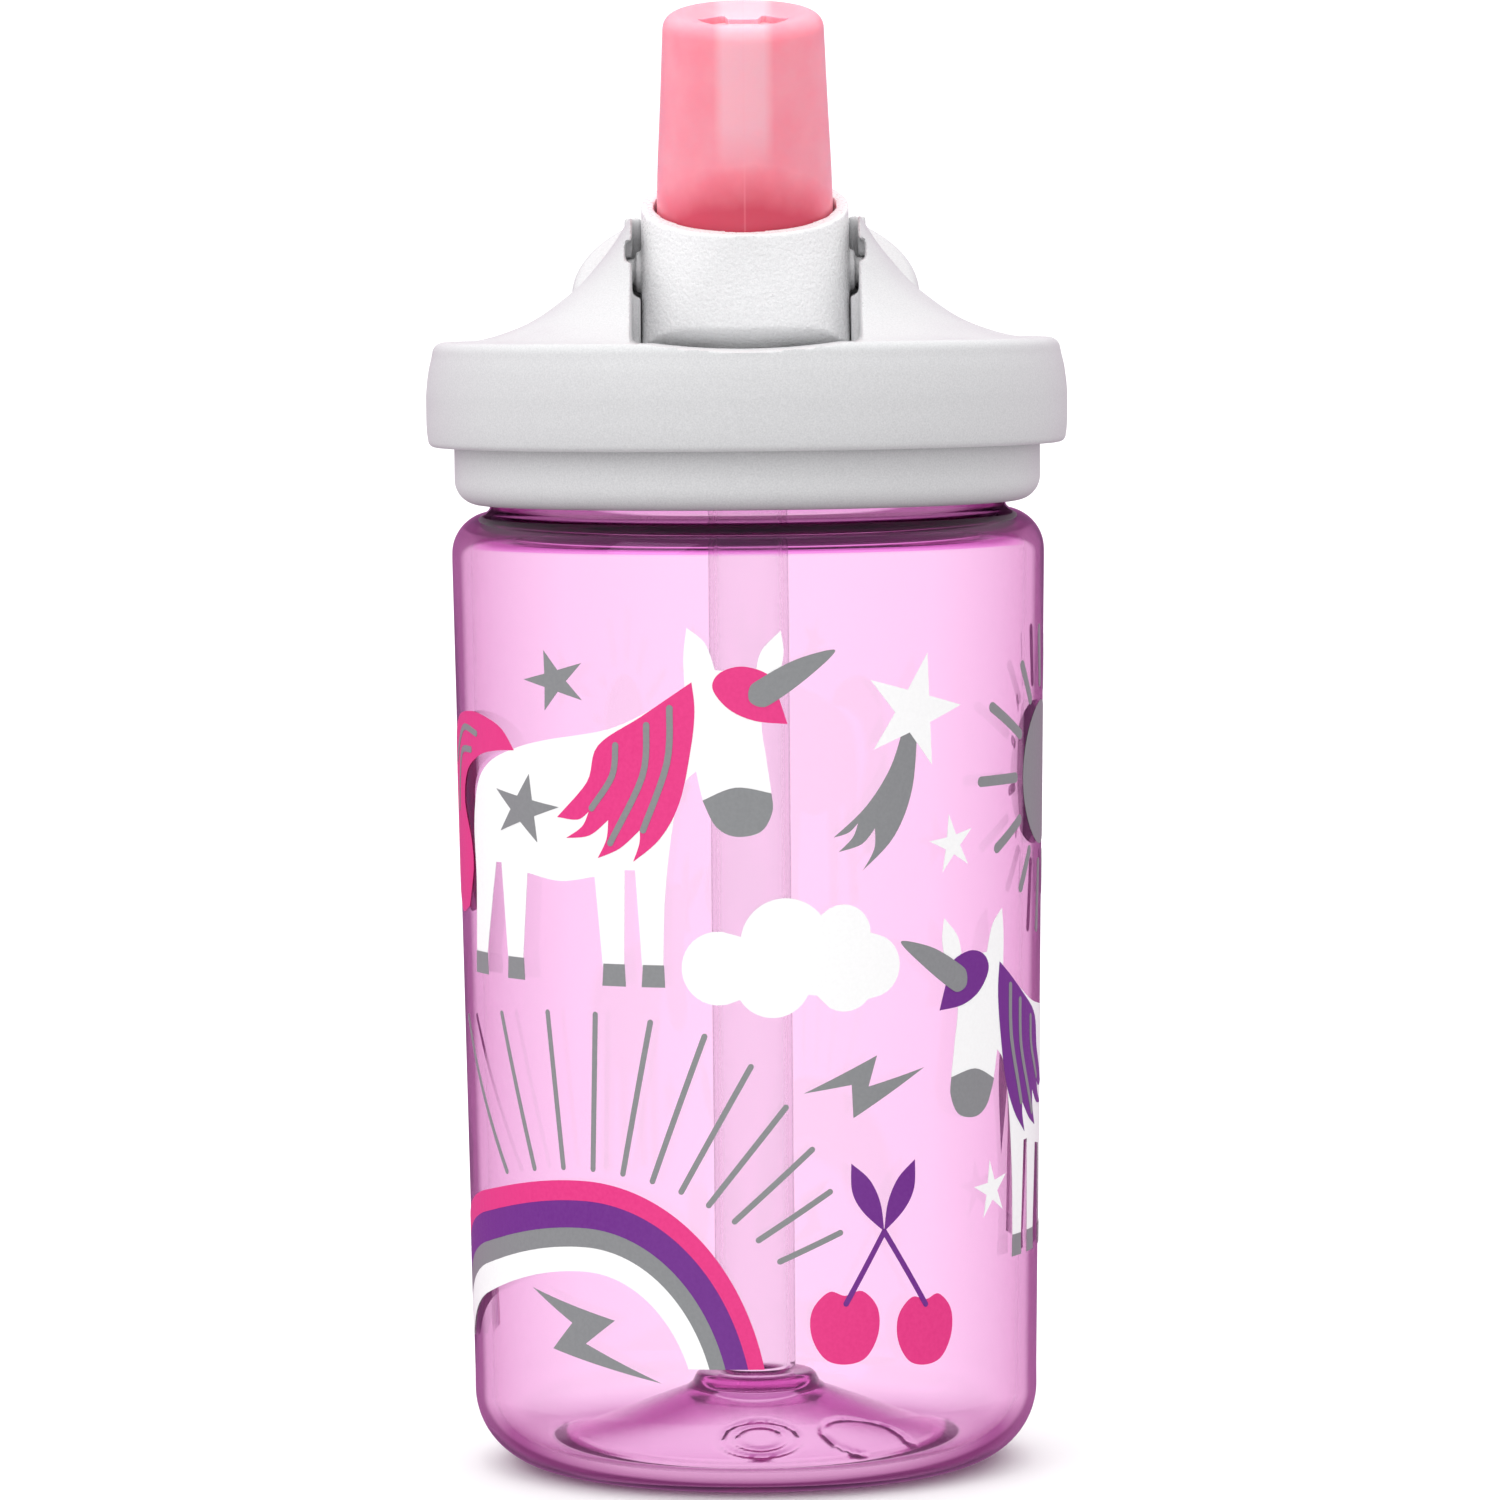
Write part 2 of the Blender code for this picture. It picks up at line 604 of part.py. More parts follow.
def valve_outline():
    """From the middle of the slit face, over the tip, down the side and up the bore."""
    tip = VALVE_TIP_RADIUS
    edge = 0.0020
    points = [(0.0, VALVE_TOP - 0.0014), (0.0045, VALVE_TOP - 0.0012), (0.0062, VALVE_TOP - 0.0004)]
    points += arc(tip - edge, VALVE_TOP - edge, edge, 90, 0, 4)
    points += [(VALVE_BASE_RADIUS, 0.0060), (VALVE_BASE_RADIUS, VALVE_BOTTOM + 0.0005)]
    points += [(VALVE_BASE_RADIUS - 0.0005, VALVE_BOTTOM), (VALVE_BORE, VALVE_BOTTOM)]
    points += [(VALVE_BORE, VALVE_TOP - 0.0070), (0.0034, VALVE_TOP - 0.0042)]
    points += [(0.0, VALVE_TOP - 0.0036)]
    return points


def build_valve(parts, guides, material, pivot):
    valve = lathe("bite_valve", valve_outline(), parts, material, 36, closed=False)
    on_spout(valve, pivot, AXIS_OFFSET)
    half = SLIT_LENGTH / 2
    low = (-half, -SLIT_WIDTH / 2, VALVE_TOP - 0.0060)
    high = (half, SLIT_WIDTH / 2, VALVE_TOP + 0.0020)
    slit = box("valve_slit", low, high, guides)
    boolean(valve, on_spout(slit, pivot, AXIS_OFFSET))
    return valve


# ---- Assembly ----------------------------------------------------------------

def main():
    clear_scene()
    parts = new_collection("kids_water_bottle")
    guides = new_collection("guides")
    tint = make_material("tinted_copolyester", (0.86, 0.48, 0.83), 0.05, 0.8)
    pearl = make_material("pearl_polypropylene", (0.80, 0.80, 0.81), 0.35)
    silicone = make_material("pink_silicone", (0.95, 0.25, 0.33), 0.30)
    seal = make_material("clear_silicone", (0.82, 0.82, 0.80), 0.45)
    clear = make_material("clear_straw", (0.92, 0.90, 0.93), 0.10, 0.7)
    build_bottle(parts, guides, tint)
    build_gasket(parts, seal)
    build_lid_base(parts, guides, pearl)
    build_shroud(parts, guides, pearl)
    build_carry_loop(parts, pearl)
    build_port_seal(parts, guides, seal)
    build_vent_valve(parts, seal)
    build_straw(parts, clear)
    pivot = spout_frame()
    build_stem(parts, guides, pearl, pivot)
    build_valve(parts, guides, silicone, pivot)


main()
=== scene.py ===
"""Looks of the kids' water bottle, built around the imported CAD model, in metres."""

import json
import math

import bmesh
import bpy
from mathutils import Matrix, Vector


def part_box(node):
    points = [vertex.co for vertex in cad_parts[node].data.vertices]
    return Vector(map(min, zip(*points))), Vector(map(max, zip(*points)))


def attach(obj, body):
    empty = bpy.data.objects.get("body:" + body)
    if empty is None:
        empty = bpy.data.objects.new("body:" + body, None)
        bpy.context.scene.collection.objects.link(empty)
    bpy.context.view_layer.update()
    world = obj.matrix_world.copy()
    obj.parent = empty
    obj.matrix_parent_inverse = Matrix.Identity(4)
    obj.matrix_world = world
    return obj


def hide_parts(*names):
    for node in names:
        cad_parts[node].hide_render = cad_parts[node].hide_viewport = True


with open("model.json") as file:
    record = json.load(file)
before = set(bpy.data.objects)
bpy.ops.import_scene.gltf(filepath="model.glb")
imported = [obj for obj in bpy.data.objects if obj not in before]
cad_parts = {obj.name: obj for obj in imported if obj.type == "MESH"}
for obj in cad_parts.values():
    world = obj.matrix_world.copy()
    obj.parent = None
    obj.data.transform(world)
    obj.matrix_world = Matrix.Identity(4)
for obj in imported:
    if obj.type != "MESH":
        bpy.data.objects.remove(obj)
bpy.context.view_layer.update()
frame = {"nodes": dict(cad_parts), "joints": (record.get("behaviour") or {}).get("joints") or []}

# ---- Sizes read from the frame -------------------------------------------------

NECK_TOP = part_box("bottle_body")[1].z
SKIRT_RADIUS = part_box("lid_base")[1].x
SKIRT_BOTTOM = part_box("lid_base")[0].z
BAND_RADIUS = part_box("lid_shroud")[1].x
BAND_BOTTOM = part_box("lid_shroud")[0].z
STRAW_BOTTOM, STRAW_TOP = (corner.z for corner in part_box("straw"))
STRAW_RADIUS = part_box("straw")[1].x
FLIP = next(joint for joint in frame["joints"] if joint["name"] == "spout_flip")
PIVOT_Z = FLIP["pos_m"][2]

# ---- Sizes the frame doesn't give, as in the CAD model --------------------------

ROUND_STEPS = 192
GAP = 0.0003
WALL = 0.0022
FOOT_RADIUS = 0.0248
FOOT_WIDTH = 0.0023
BASE_CORNER = 0.0091
SIDE_LOW_RADIUS = FOOT_RADIUS + BASE_CORNER
SIDE_HIGH_RADIUS = 0.0355
SHOULDER_CORNER = 0.0050
SHOULDER_START = 0.1097
PUSH_UP_SLOPE = math.radians(21.0)
PUSH_UP_RADIUS = 0.0235
NUB_RADIUS = 0.0074
NUB_TOP = 0.0107
NUB_HOLLOW_RADIUS = 0.0050
NUB_HOLLOW_TOP = 0.0080
NECK_RADIUS = 0.0308
NECK_BORE = 0.0284
THREAD_PITCH = 0.0040
THREAD_TURNS = 1.25
THREAD_BEAD = 0.0009
NECK_BEAD_RADIUS = 0.0314
LID_BEAD_RADIUS = 0.0322
NECK_BEAD_START = 0.1186
LID_BEAD_START = 0.1169
SKIRT_BORE = 0.0328
SKIRT_ROUNDING = 0.0030
PLATE_BOTTOM = 0.1291
PLATE_TOP = 0.1306
VENT_RADIUS = 0.0015
VENT_Y = 0.0190
SOCKET_RADIUS = 0.0066
SOCKET_BOTTOM = 0.1215
PORT_RADIUS = 0.0033
SEAT_RADIUS = 0.0062
SEAT_WALL = 0.0012
SEAT_FLOOR = 0.1302
SEAT_TOP = 0.1329
RIB_RADIUS = 0.0315
RIB_WALL = 0.0015
RIB_TOP = 0.1327
LID_TOP = 0.1350
ROOF = 0.0020
CHANNEL_HALF = 0.0135
TROUGH_HALF = 0.0129
TROUGH_RADIUS = 0.0122
CHEEK = 0.0022
SCOOP_HALF = 0.0125
SCOOP_DEPTH = 0.0010
GROOVE_LOW = 0.1443
GROOVE_HIGH = 0.1469
GROOVE_DEPTH = 0.0008
GUIDE_INNER = 0.0125
GUIDE_FRONT = 0.0032
GUIDE_BACK = 0.0066
GUIDE_TOP = 0.1496
GUIDE_FOOT_FRONT = -0.0060
GUIDE_FOOT_TOP = 0.1402
TOWER_FLARE = [             # radius from the axis and height, top to bottom
    (0.0124, 0.1504),
    (0.0133, 0.1501),
    (0.0142, 0.1490),
    (0.0157, 0.1466),
    (0.0175, 0.1443),
    (0.0196, 0.1419),
    (0.0222, 0.1397),
    (0.0256, 0.1374),
    (0.0293, 0.1359),
    (0.0327, 0.1351),
]
LOOP_Y = 0.0150
LOOP_Z = 0.1400
LOOP_TILT = math.radians(29.4)
LOOP_OUTER = 0.0212
LOOP_INNER = 0.0142
LOOP_LEG = 0.0060
LOOP_THICKNESS = 0.0046
LEAN = math.radians(13.5)
BARREL_RADIUS = 0.0109
COLLAR_HALF = 0.0124
COLLAR_FRONT = -0.0099
AXIS_OFFSET = 0.0025
COLLAR_FRONT_TOP = 0.0067
COLLAR_RIM_SLOPE = math.radians(4.0)
COLLAR_CORNER = 0.0025
COLLAR_LOFT = 0.0086
COLLAR_BACK_BOTTOM = -0.0010
POCKET_RADIUS = 0.0109
POCKET_FLOOR = 0.0010
NOZZLE_RADIUS = 0.0045
NOZZLE_BORE = 0.0030
NOZZLE_TOP = 0.0160
TRUNNION_RADIUS = 0.0015
TRUNNION_END = 0.0154
BOSS_RADIUS = 0.0024
BOSS_END = 0.0131
VALVE_BASE_RADIUS = 0.0106
VALVE_TIP_RADIUS = 0.0096
VALVE_BOTTOM = 0.0013
VALVE_TOP = 0.0308
VALVE_BORE = NOZZLE_RADIUS + GAP

# ---- Marks that the materials read ----------------------------------------------

CLEAR = (1.0, 1.0, 1.0)
PAINTED_GLOW_FROM = (0.1545, 0.1600)     # painted glow: the bite valve is painted paler over its bore between these heights, for light through the thin wall
PAINTED_SHADE_UNDER = (0.1505, 0.1556)    # and painted shade below these, deep red, where the collar shuts out the light
OUTER_SKIN = "outer_skin"        # values that the bottle's mesh carries at each point
# Painted shade: how much sooner the outer skin darkens, on the foot and on the shoulder under the lid.
EDGE_SHADE_LEAD = "edge_shade_lead"
# Painted shade: where the inside of the shoulder and neck is coloured purple over the shade of the lid.
PAINTED_LID_SHADE = "painted_lid_shade"
PUSHED_UP = "pushed_up"

# ---- Artwork, laid out on the unrolled body in millimetres -----------------------
# Across is the distance round the body from the front (-Y), up is the height.

INK_RADIUS = 34.7           # millimetres round the body to a radian
INK_GAP = 0.00002
INK_THICKNESS = 0.00004
INK_LAYER = 0.00004
SLICE = 1.2                 # width of the strips that a print is cut into to bend


# ---- Mesh helpers ----------------------------------------------------------------

def add_object(name, mesh, material=None):
    obj = bpy.data.objects.new(name, mesh)
    bpy.context.scene.collection.objects.link(obj)
    if material is not None:
        obj.data.materials.append(material)
    return obj


def arc(centre_a, centre_b, radius, start_deg, end_deg, steps):
    """Points along a circular arc in a flat outline, both ends included."""
    points = []
    for i in range(steps + 1):
        angle = math.radians(start_deg + (end_deg - start_deg) * i / steps)
        points.append((centre_a + radius * math.cos(angle), centre_b + radius * math.sin(angle)))
    return points


def spaced(start, end, step):
    """Points on a straight line about step apart, both ends included."""
    count = max(1, round(math.dist(start, end) / step))
    return [tuple(a + (b - a) * i / count for a, b in zip(start, end)) for i in range(count + 1)]


def catmull(points, steps, closed=False):
    """A smooth line through the points."""
    count = len(points)
    line = []
    for i in range(count if closed else count - 1):
        around = []
        for k in range(-1, 3):
            index = (i + k) % count if closed else min(max(i + k, 0), count - 1)
            around.append(points[index])
        for s in range(steps):
            t = s / steps
            point = []
            for p0, p1, p2, p3 in zip(*around):
                value = 2 * p1 + (p2 - p0) * t + (2 * p0 - 5 * p1 + 4 * p2 - p3) * t ** 2
                value += (3 * p1 - p0 - 3 * p2 + p3) * t ** 3
                point.append(value / 2)
            line.append(tuple(point))
    if not closed:
        line.append(tuple(points[-1]))
    return line


def mesh_from(work, name):
    """Turn finished bmesh work into a mesh."""
    mesh = bpy.data.meshes.new(name)
    work.to_mesh(mesh)
    work.free()
    return mesh


def lathe_mesh(name, outline, steps=ROUND_STEPS, closed=True):
    """Turn an outline of (radius, height) points about Z; an open one ends on the axis."""
    work = bmesh.new()
    rings = []
    for radius, height in outline:
        count = steps if radius > 1e-7 else 1
        turns = [2 * math.pi * i / steps for i in range(count)]
        ring = [(radius * math.cos(angle), radius * math.sin(angle), height) for angle in turns]
        rings.append([work.verts.new(point) for point in ring])
    pairs = list(zip(rings, rings[1:]))
    if closed:
        pairs.append((rings[-1], rings[0]))
    for upper, lower in pairs:
        for i in range(steps):
            k = (i + 1) % steps
            corners = [upper[i % len(upper)], lower[i % len(lower)]]
            if len(lower) > 1:
                corners.append(lower[k])
            if len(upper) > 1:
                corners.append(upper[k])
            work.faces.new(corners)
    bmesh.ops.recalc_face_normals(work, faces=work.faces)
    mesh = mesh_from(work, name)
    mesh.shade_smooth()
    return mesh


def sweep_mesh(name, rings):
    """A skin over a row of rings, each a list of as many points, capped at both ends."""
    work = bmesh.new()
    rings = [[work.verts.new(point) for point in ring] for ring in rings]
    for ring, following in zip(rings, rings[1:]):
        for i in range(len(ring)):
            k = (i + 1) % len(ring)
            work.faces.new((ring[i], ring[k], following[k], following[i]))
    work.faces.new(rings[0])
    work.faces.new(rings[-1])
    bmesh.ops.recalc_face_normals(work, faces=work.faces)
    return mesh_from(work, name)


def outline_mesh(name, outline, thickness):
    """A flat outline in the XY plane, thickened evenly on both sides."""
    work = bmesh.new()
    face = work.faces.new([work.verts.new((a, b, -thickness / 2)) for a, b in outline])
    grown = bmesh.ops.extrude_face_region(work, geom=[face])
    moved = [item for item in grown["geom"] if isinstance(item, bmesh.types.BMVert)]
    bmesh.ops.translate(work, verts=moved, vec=(0.0, 0.0, thickness))
    bmesh.ops.recalc_face_normals(work, faces=work.faces)
    return mesh_from(work, name)


def cylinder(name, radius, low, high, steps=96):
    outline = [(0.0, high), (radius, high), (radius, low), (0.0, low)]
    return add_object(name, lathe_mesh(name, outline, steps, closed=False))


def box(name, low, high):
    low, high = Vector(low), Vector(high)
    work = bmesh.new()
    place = Matrix.Translation((low + high) / 2) @ Matrix.Diagonal((*(high - low), 1.0))
    bmesh.ops.create_cube(work, size=1.0, matrix=place)
    return add_object(name, mesh_from(work, name))


def shifted(obj, offset):
    """Move an object along Y through its mesh."""
    obj.data.transform(Matrix.Translation((0.0, offset, 0.0)))
    return obj


def cross_cylinder(name, radius, half, steps=96, height=PIVOT_Z):
    """A cylinder along X, at a height over the middle."""
    bar = cylinder(name, radius, -half, half, steps)
    bar.data.transform(Matrix.Translation((0.0, 0.0, height)) @ Matrix.Rotation(math.pi / 2, 4, "Y"))
    return bar


def settle(obj):
    """Apply an object's modifiers."""
    evaluated = obj.evaluated_get(bpy.context.evaluated_depsgraph_get())
    mesh = bpy.data.meshes.new_from_object(evaluated)
    materials = list(obj.data.materials)
    obj.modifiers.clear()
    old = obj.data
    obj.data = mesh
    mesh.materials.clear()
    for material in materials:
        mesh.materials.append(material)
    bpy.data.meshes.remove(old)
    return obj


def boolean(obj, other, operation="DIFFERENCE"):
    """Cut or join obj with another object, which is used up."""
    modifier = obj.modifiers.new("Boolean", "BOOLEAN")
    modifier.operation = operation
    modifier.object = other
    modifier.solver = "EXACT"
    settle(obj)
    bpy.data.objects.remove(other)
    return obj


def joined(obj, *others):
    """Put several closed meshes into one object, as overlapping shells."""
    work = bmesh.new()
    for item in (obj, *others):
        work.from_mesh(item.data)
    work.to_mesh(obj.data)
    work.free()
    for item in others:
        bpy.data.objects.remove(item)
    return obj


def remesh(obj, voxel, smooth_steps):
    """Merge an object's shells into one even skin and soften its edges."""
    grid = obj.modifiers.new("Remesh", "REMESH")
    grid.mode = "VOXEL"
    grid.voxel_size = voxel
    grid.use_smooth_shade = True
    soft = obj.modifiers.new("Soften", "SMOOTH")
    soft.factor = 0.5
    soft.iterations = smooth_steps
    return settle(obj)


def snap_to_turned(obj, outline, reach):
    """Put the points that lie within reach of a turned outline exactly on it."""
    segments = list(zip(outline, outline[1:]))
    for vertex in obj.data.vertices:
        radius = math.hypot(vertex.co.x, vertex.co.y)
        best, target = reach, None
        for (r0, z0), (r1, z1) in segments:
            dr, dz = r1 - r0, z1 - z0
            length = dr * dr + dz * dz
            t = ((radius - r0) * dr + (vertex.co.z - z0) * dz) / length
            t = min(max(t, 0.0), 1.0)
            near = (r0 + t * dr, z0 + t * dz)
            distance = math.dist(near, (radius, vertex.co.z))
            if distance < best:
                best, target = distance, near
        if target is not None and radius > 1e-6:
            vertex.co.x *= target[0] / radius
            vertex.co.y *= target[0] / radius
            vertex.co.z = target[1]
    obj.data.update()


def thread_bead(name, radius, start_height, start_angle):
    """A rounded right-hand thread that runs out into the wall at both ends."""
    steps = round(THREAD_TURNS * 120)
    rings = []
    for i in range(steps + 1):
        turn = THREAD_TURNS * i / steps
        angle = start_angle + 2 * math.pi * turn
        height = start_height + THREAD_PITCH * turn
        fade = min(1.0, 0.35 + 0.65 * min(i, steps - i) / 10)
        section = arc(radius, height, THREAD_BEAD * fade, 0, 360, 16)[:-1]
        rings.append([(out * math.cos(angle), out * math.sin(angle), up) for out, up in section])
    return add_object(name, sweep_mesh(name, rings))


def finish_piece(obj, body, slot, *nodes):
    """Ride on a body and stand for the CAD nodes; slot is not used."""
    obj.data.shade_smooth()
    obj.data.set_sharp_from_angle(angle=math.radians(40.0))
    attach(obj, body)
    if nodes:
        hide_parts(*nodes)
    return obj


# ---- Materials -------------------------------------------------------------------

def new_material(name, **sockets):
    """A Principled material with the given sockets set."""
    material = bpy.data.materials.new(name)
    material.use_nodes = True
    tree = material.node_tree
    for socket, value in sockets.items():
        tree.nodes["Principled BSDF"].inputs[socket.replace("_", " ")].default_value = value
    return material, tree


def feed(tree, socket, value):
    """Drive one of the shader's sockets by another node's output."""
    tree.links.new(value, tree.nodes["Principled BSDF"].inputs[socket])


def axes(tree, kind):
    """The X, Y and Z of a kind of texture coordinate."""
    coordinates = tree.nodes.new("ShaderNodeTexCoord")
    parts = tree.nodes.new("ShaderNodeSeparateXYZ")
    tree.links.new(coordinates.outputs[kind], parts.inputs["Vector"])
    return parts.outputs


def noise(tree, scale, detail=3.0, roughness=0.5):
    """A noise value in the object's own coordinates."""
    coordinates = tree.nodes.new("ShaderNodeTexCoord")
    node = tree.nodes.new("ShaderNodeTexNoise")
    for socket, value in (("Scale", scale), ("Detail", detail), ("Roughness", roughness)):
        node.inputs[socket].default_value = value
    tree.links.new(coordinates.outputs["Object"], node.inputs["Vector"])
    return node.outputs["Fac"]


def spread(tree, source, low, high, out_low, out_high):
    """Stretch a value between two limits."""
    node = tree.nodes.new("ShaderNodeMapRange")
    limits = {"From Min": low, "From Max": high, "To Min": out_low, "To Max": out_high}
    for socket, value in limits.items():
        node.inputs[socket].default_value = value
    tree.links.new(source, node.inputs["Value"])
    return node.outputs["Result"]


def mixed(tree, factor, first, second):
    """Mix two colours, each a fixed one or another node's output."""
    node = tree.nodes.new("ShaderNodeMix")
    node.data_type = "RGBA"
    tree.links.new(factor, node.inputs["Factor"])
    for socket, value in (("A", first), ("B", second)):
        if isinstance(value, tuple):
            node.inputs[socket].default_value = (*value, 1.0)
        else:
            tree.links.new(value, node.inputs[socket])
    return node.outputs["Result"]


def varied(tree, source, low, high):
    """Let a noise value run between two values."""
    return spread(tree, source, 0.3, 0.7, low, high)


def mottled(tree, source, first, second):
    """Let a noise value run between two colours."""
    return mixed(tree, varied(tree, source, 0.0, 1.0), first, second)


def maths(tree, operation, first, second):
    """One sum on two values, each a number or another node's output."""
    node = tree.nodes.new("ShaderNodeMath")
    node.operation = operation
    for socket, value in zip(node.inputs, (first, second)):
        if isinstance(value, float):
            socket.default_value = value
        else:
            tree.links.new(value, socket)
    return node.outputs["Value"]


def named_value(tree, name):
    """What a mesh carries under this name at each point."""
    node = tree.nodes.new("ShaderNodeAttribute")
    node.attribute_name = name
    return node.outputs["Fac"]


def add_bump(tree, height, strength, distance):
    bump = tree.nodes.new("ShaderNodeBump")
    bump.inputs["Strength"].default_value = strength
    bump.inputs["Distance"].default_value = distance
    tree.links.new(height, bump.inputs["Height"])
    feed(tree, "Normal", bump.outputs["Normal"])


def tinted_plastic(name, colour, density, reflected, ior, roughness):
    """Clear plastic that takes its tint from the thickness the light crosses."""
    material, tree = new_material(
        name, Base_Color=(*CLEAR, 1.0), Specular_Tint=(*reflected, 1.0),
        Roughness=roughness, IOR=ior, Transmission_Weight=1.0,
    )
    volume = tree.nodes.new("ShaderNodeVolumeAbsorption")
    volume.inputs["Color"].default_value = (*colour, 1.0)
    volume.inputs["Density"].default_value = density
    tree.links.new(volume.outputs["Volume"], tree.nodes["Material Output"].inputs["Volume"])
    add_bump(tree, noise(tree, 55.0, 1.0), 0.15, 0.0004)
    return material


def body_plastic():
    """Purple clear plastic with painted shade: its outer skin darkens where it turns edge on, partly deeper
    tint and partly shade, sooner on the foot and under the lid, and the inside of the neck is painted
    purple over its shade.
    """
    material = tinted_plastic("tinted_copolyester", (0.80, 0.0, 0.64), 134.0, (1.0, 0.45, 0.92), 1.5, 0.0)
    tree = material.node_tree
    # Painted shade: the base colour darkens where the outer skin turns edge on, partly for deeper tint and
    # partly for shade.
    facing = tree.nodes.new("ShaderNodeLayerWeight").outputs["Facing"]
    turning = maths(tree, "ADD", facing, named_value(tree, EDGE_SHADE_LEAD))
    tint = mixed(tree, spread(tree, turning, 0.22, 0.60, 0.0, 1.0), CLEAR, (0.72, 0.64, 0.67))
    tint = mixed(tree, spread(tree, turning, 0.71, 0.77, 0.0, 1.0), tint, (0.19, 0.075, 0.155))
    tint = mixed(tree, named_value(tree, OUTER_SKIN), CLEAR, tint)
    # Painted shade: purple over the shade inside the shoulder and neck, under the lid.
    feed(tree, "Base Color", mixed(tree, named_value(tree, PAINTED_LID_SHADE), tint, (0.95, 0.40, 0.90)))
    feed(tree, "Roughness", spread(tree, named_value(tree, PUSHED_UP), 0.0, 1.0, 0.0, 0.14))
    return material


def pearl_plastic(name, low, high):
    """Pearl white with a fine sparkle, satin."""
    material, tree = new_material(name, IOR=1.46)
    sparkle = spread(tree, noise(tree, 5200.0, 2.0, 0.6), 0.30, 0.72, 0.0, 1.0)
    feed(tree, "Base Color", mixed(tree, sparkle, low, high))
    feed(tree, "Roughness", varied(tree, noise(tree, 140.0), 0.40, 0.52))
    add_bump(tree, noise(tree, 3600.0, 2.0), 0.12, 0.00006)
    return material


def spout_plastic():
    """The same pearl, glossy over a spark-eroded grain."""
    material, tree = new_material("spout_plastic", IOR=1.5)
    sparkle = spread(tree, noise(tree, 4200.0, 2.0, 0.6), 0.30, 0.72, 0.0, 1.0)
    feed(tree, "Base Color", mixed(tree, sparkle, (0.80, 0.803, 0.81), (0.90, 0.902, 0.91)))
    grain = noise(tree, 2300.0, 2.0, 0.55)
    feed(tree, "Roughness", varied(tree, grain, 0.24, 0.36))
    add_bump(tree, grain, 0.75, 0.00019)
    return material


def pink_silicone():
    """Translucent silicone with painted light: a painted glow over the bore, painted deep red shade where
    it sits in the collar.
    """
    material, tree = new_material(
        "pink_silicone", IOR=1.41, Subsurface_Weight=1.0,
        Subsurface_Radius=(0.004, 0.0012, 0.0014), Subsurface_Scale=0.35,
    )
    aside, _, up = axes(tree, "Object")
    cloudy = noise(tree, 220.0)
    colour = mottled(tree, cloudy, (1.0, 0.30, 0.38), (1.0, 0.35, 0.43))
    off_centre = maths(tree, "ABSOLUTE", aside, 0.0)
    # Painted glow: paler over the bore, for light shining through the thinner wall there.
    glow_over_bore = spread(tree, off_centre, 0.0024, 0.0036, 1.0, 0.0)
    upper = spread(tree, up, *PAINTED_GLOW_FROM, 0.0, 1.0)
    colour = mixed(tree, maths(tree, "MULTIPLY", glow_over_bore, upper), colour, (1.0, 0.48, 0.56))
    # Painted shade: deep red low down, where the collar shuts out the light; its edge sags and wavers.
    sag = maths(tree, "MULTIPLY", maths(tree, "MULTIPLY", off_centre, off_centre), 24.0)
    jitter = varied(tree, noise(tree, 300.0, 2.0), -0.0004, 0.0004)
    height = maths(tree, "ADD", maths(tree, "ADD", up, sag), jitter)
    collar_shade = spread(tree, height, *PAINTED_SHADE_UNDER, 1.0, 0.0)
    colour = mixed(tree, collar_shade, colour, (0.66, 0.085, 0.14))
    parting = spread(tree, off_centre, 0.00006, 0.00016, 0.20, 0.0)
    feed(tree, "Base Color", mixed(tree, parting, colour, (1.0, 0.42, 0.50)))
    feed(tree, "Roughness", varied(tree, cloudy, 0.34, 0.44))
    add_bump(tree, noise(tree, 2600.0, 2.0), 0.08, 0.00005)
    return material


def seal_silicone():
    """Milky seal silicone, matte."""
    material, tree = new_material(
        "seal_silicone", IOR=1.41, Subsurface_Weight=0.4, Subsurface_Radius=(0.002, 0.002, 0.002)
    )
    cloudy = noise(tree, 400.0)
    feed(tree, "Base Color", mottled(tree, cloudy, (0.74, 0.74, 0.72), (0.82, 0.82, 0.80)))
    feed(tree, "Roughness", varied(tree, cloudy, 0.45, 0.60))
    return material


def ink(name, colour, shade):
    """Screen-printed ink: even colour, satin, with a faint mesh grain."""
    material, tree = new_material(name, IOR=1.5)
    grain = noise(tree, 2400.0, 2.0)
    feed(tree, "Base Color", mottled(tree, grain, shade, colour))
    feed(tree, "Roughness", varied(tree, grain, 0.30, 0.42))
    add_bump(tree, grain, 0.05, 0.00003)
    return material


# ---- Bottle ----------------------------------------------------------------------

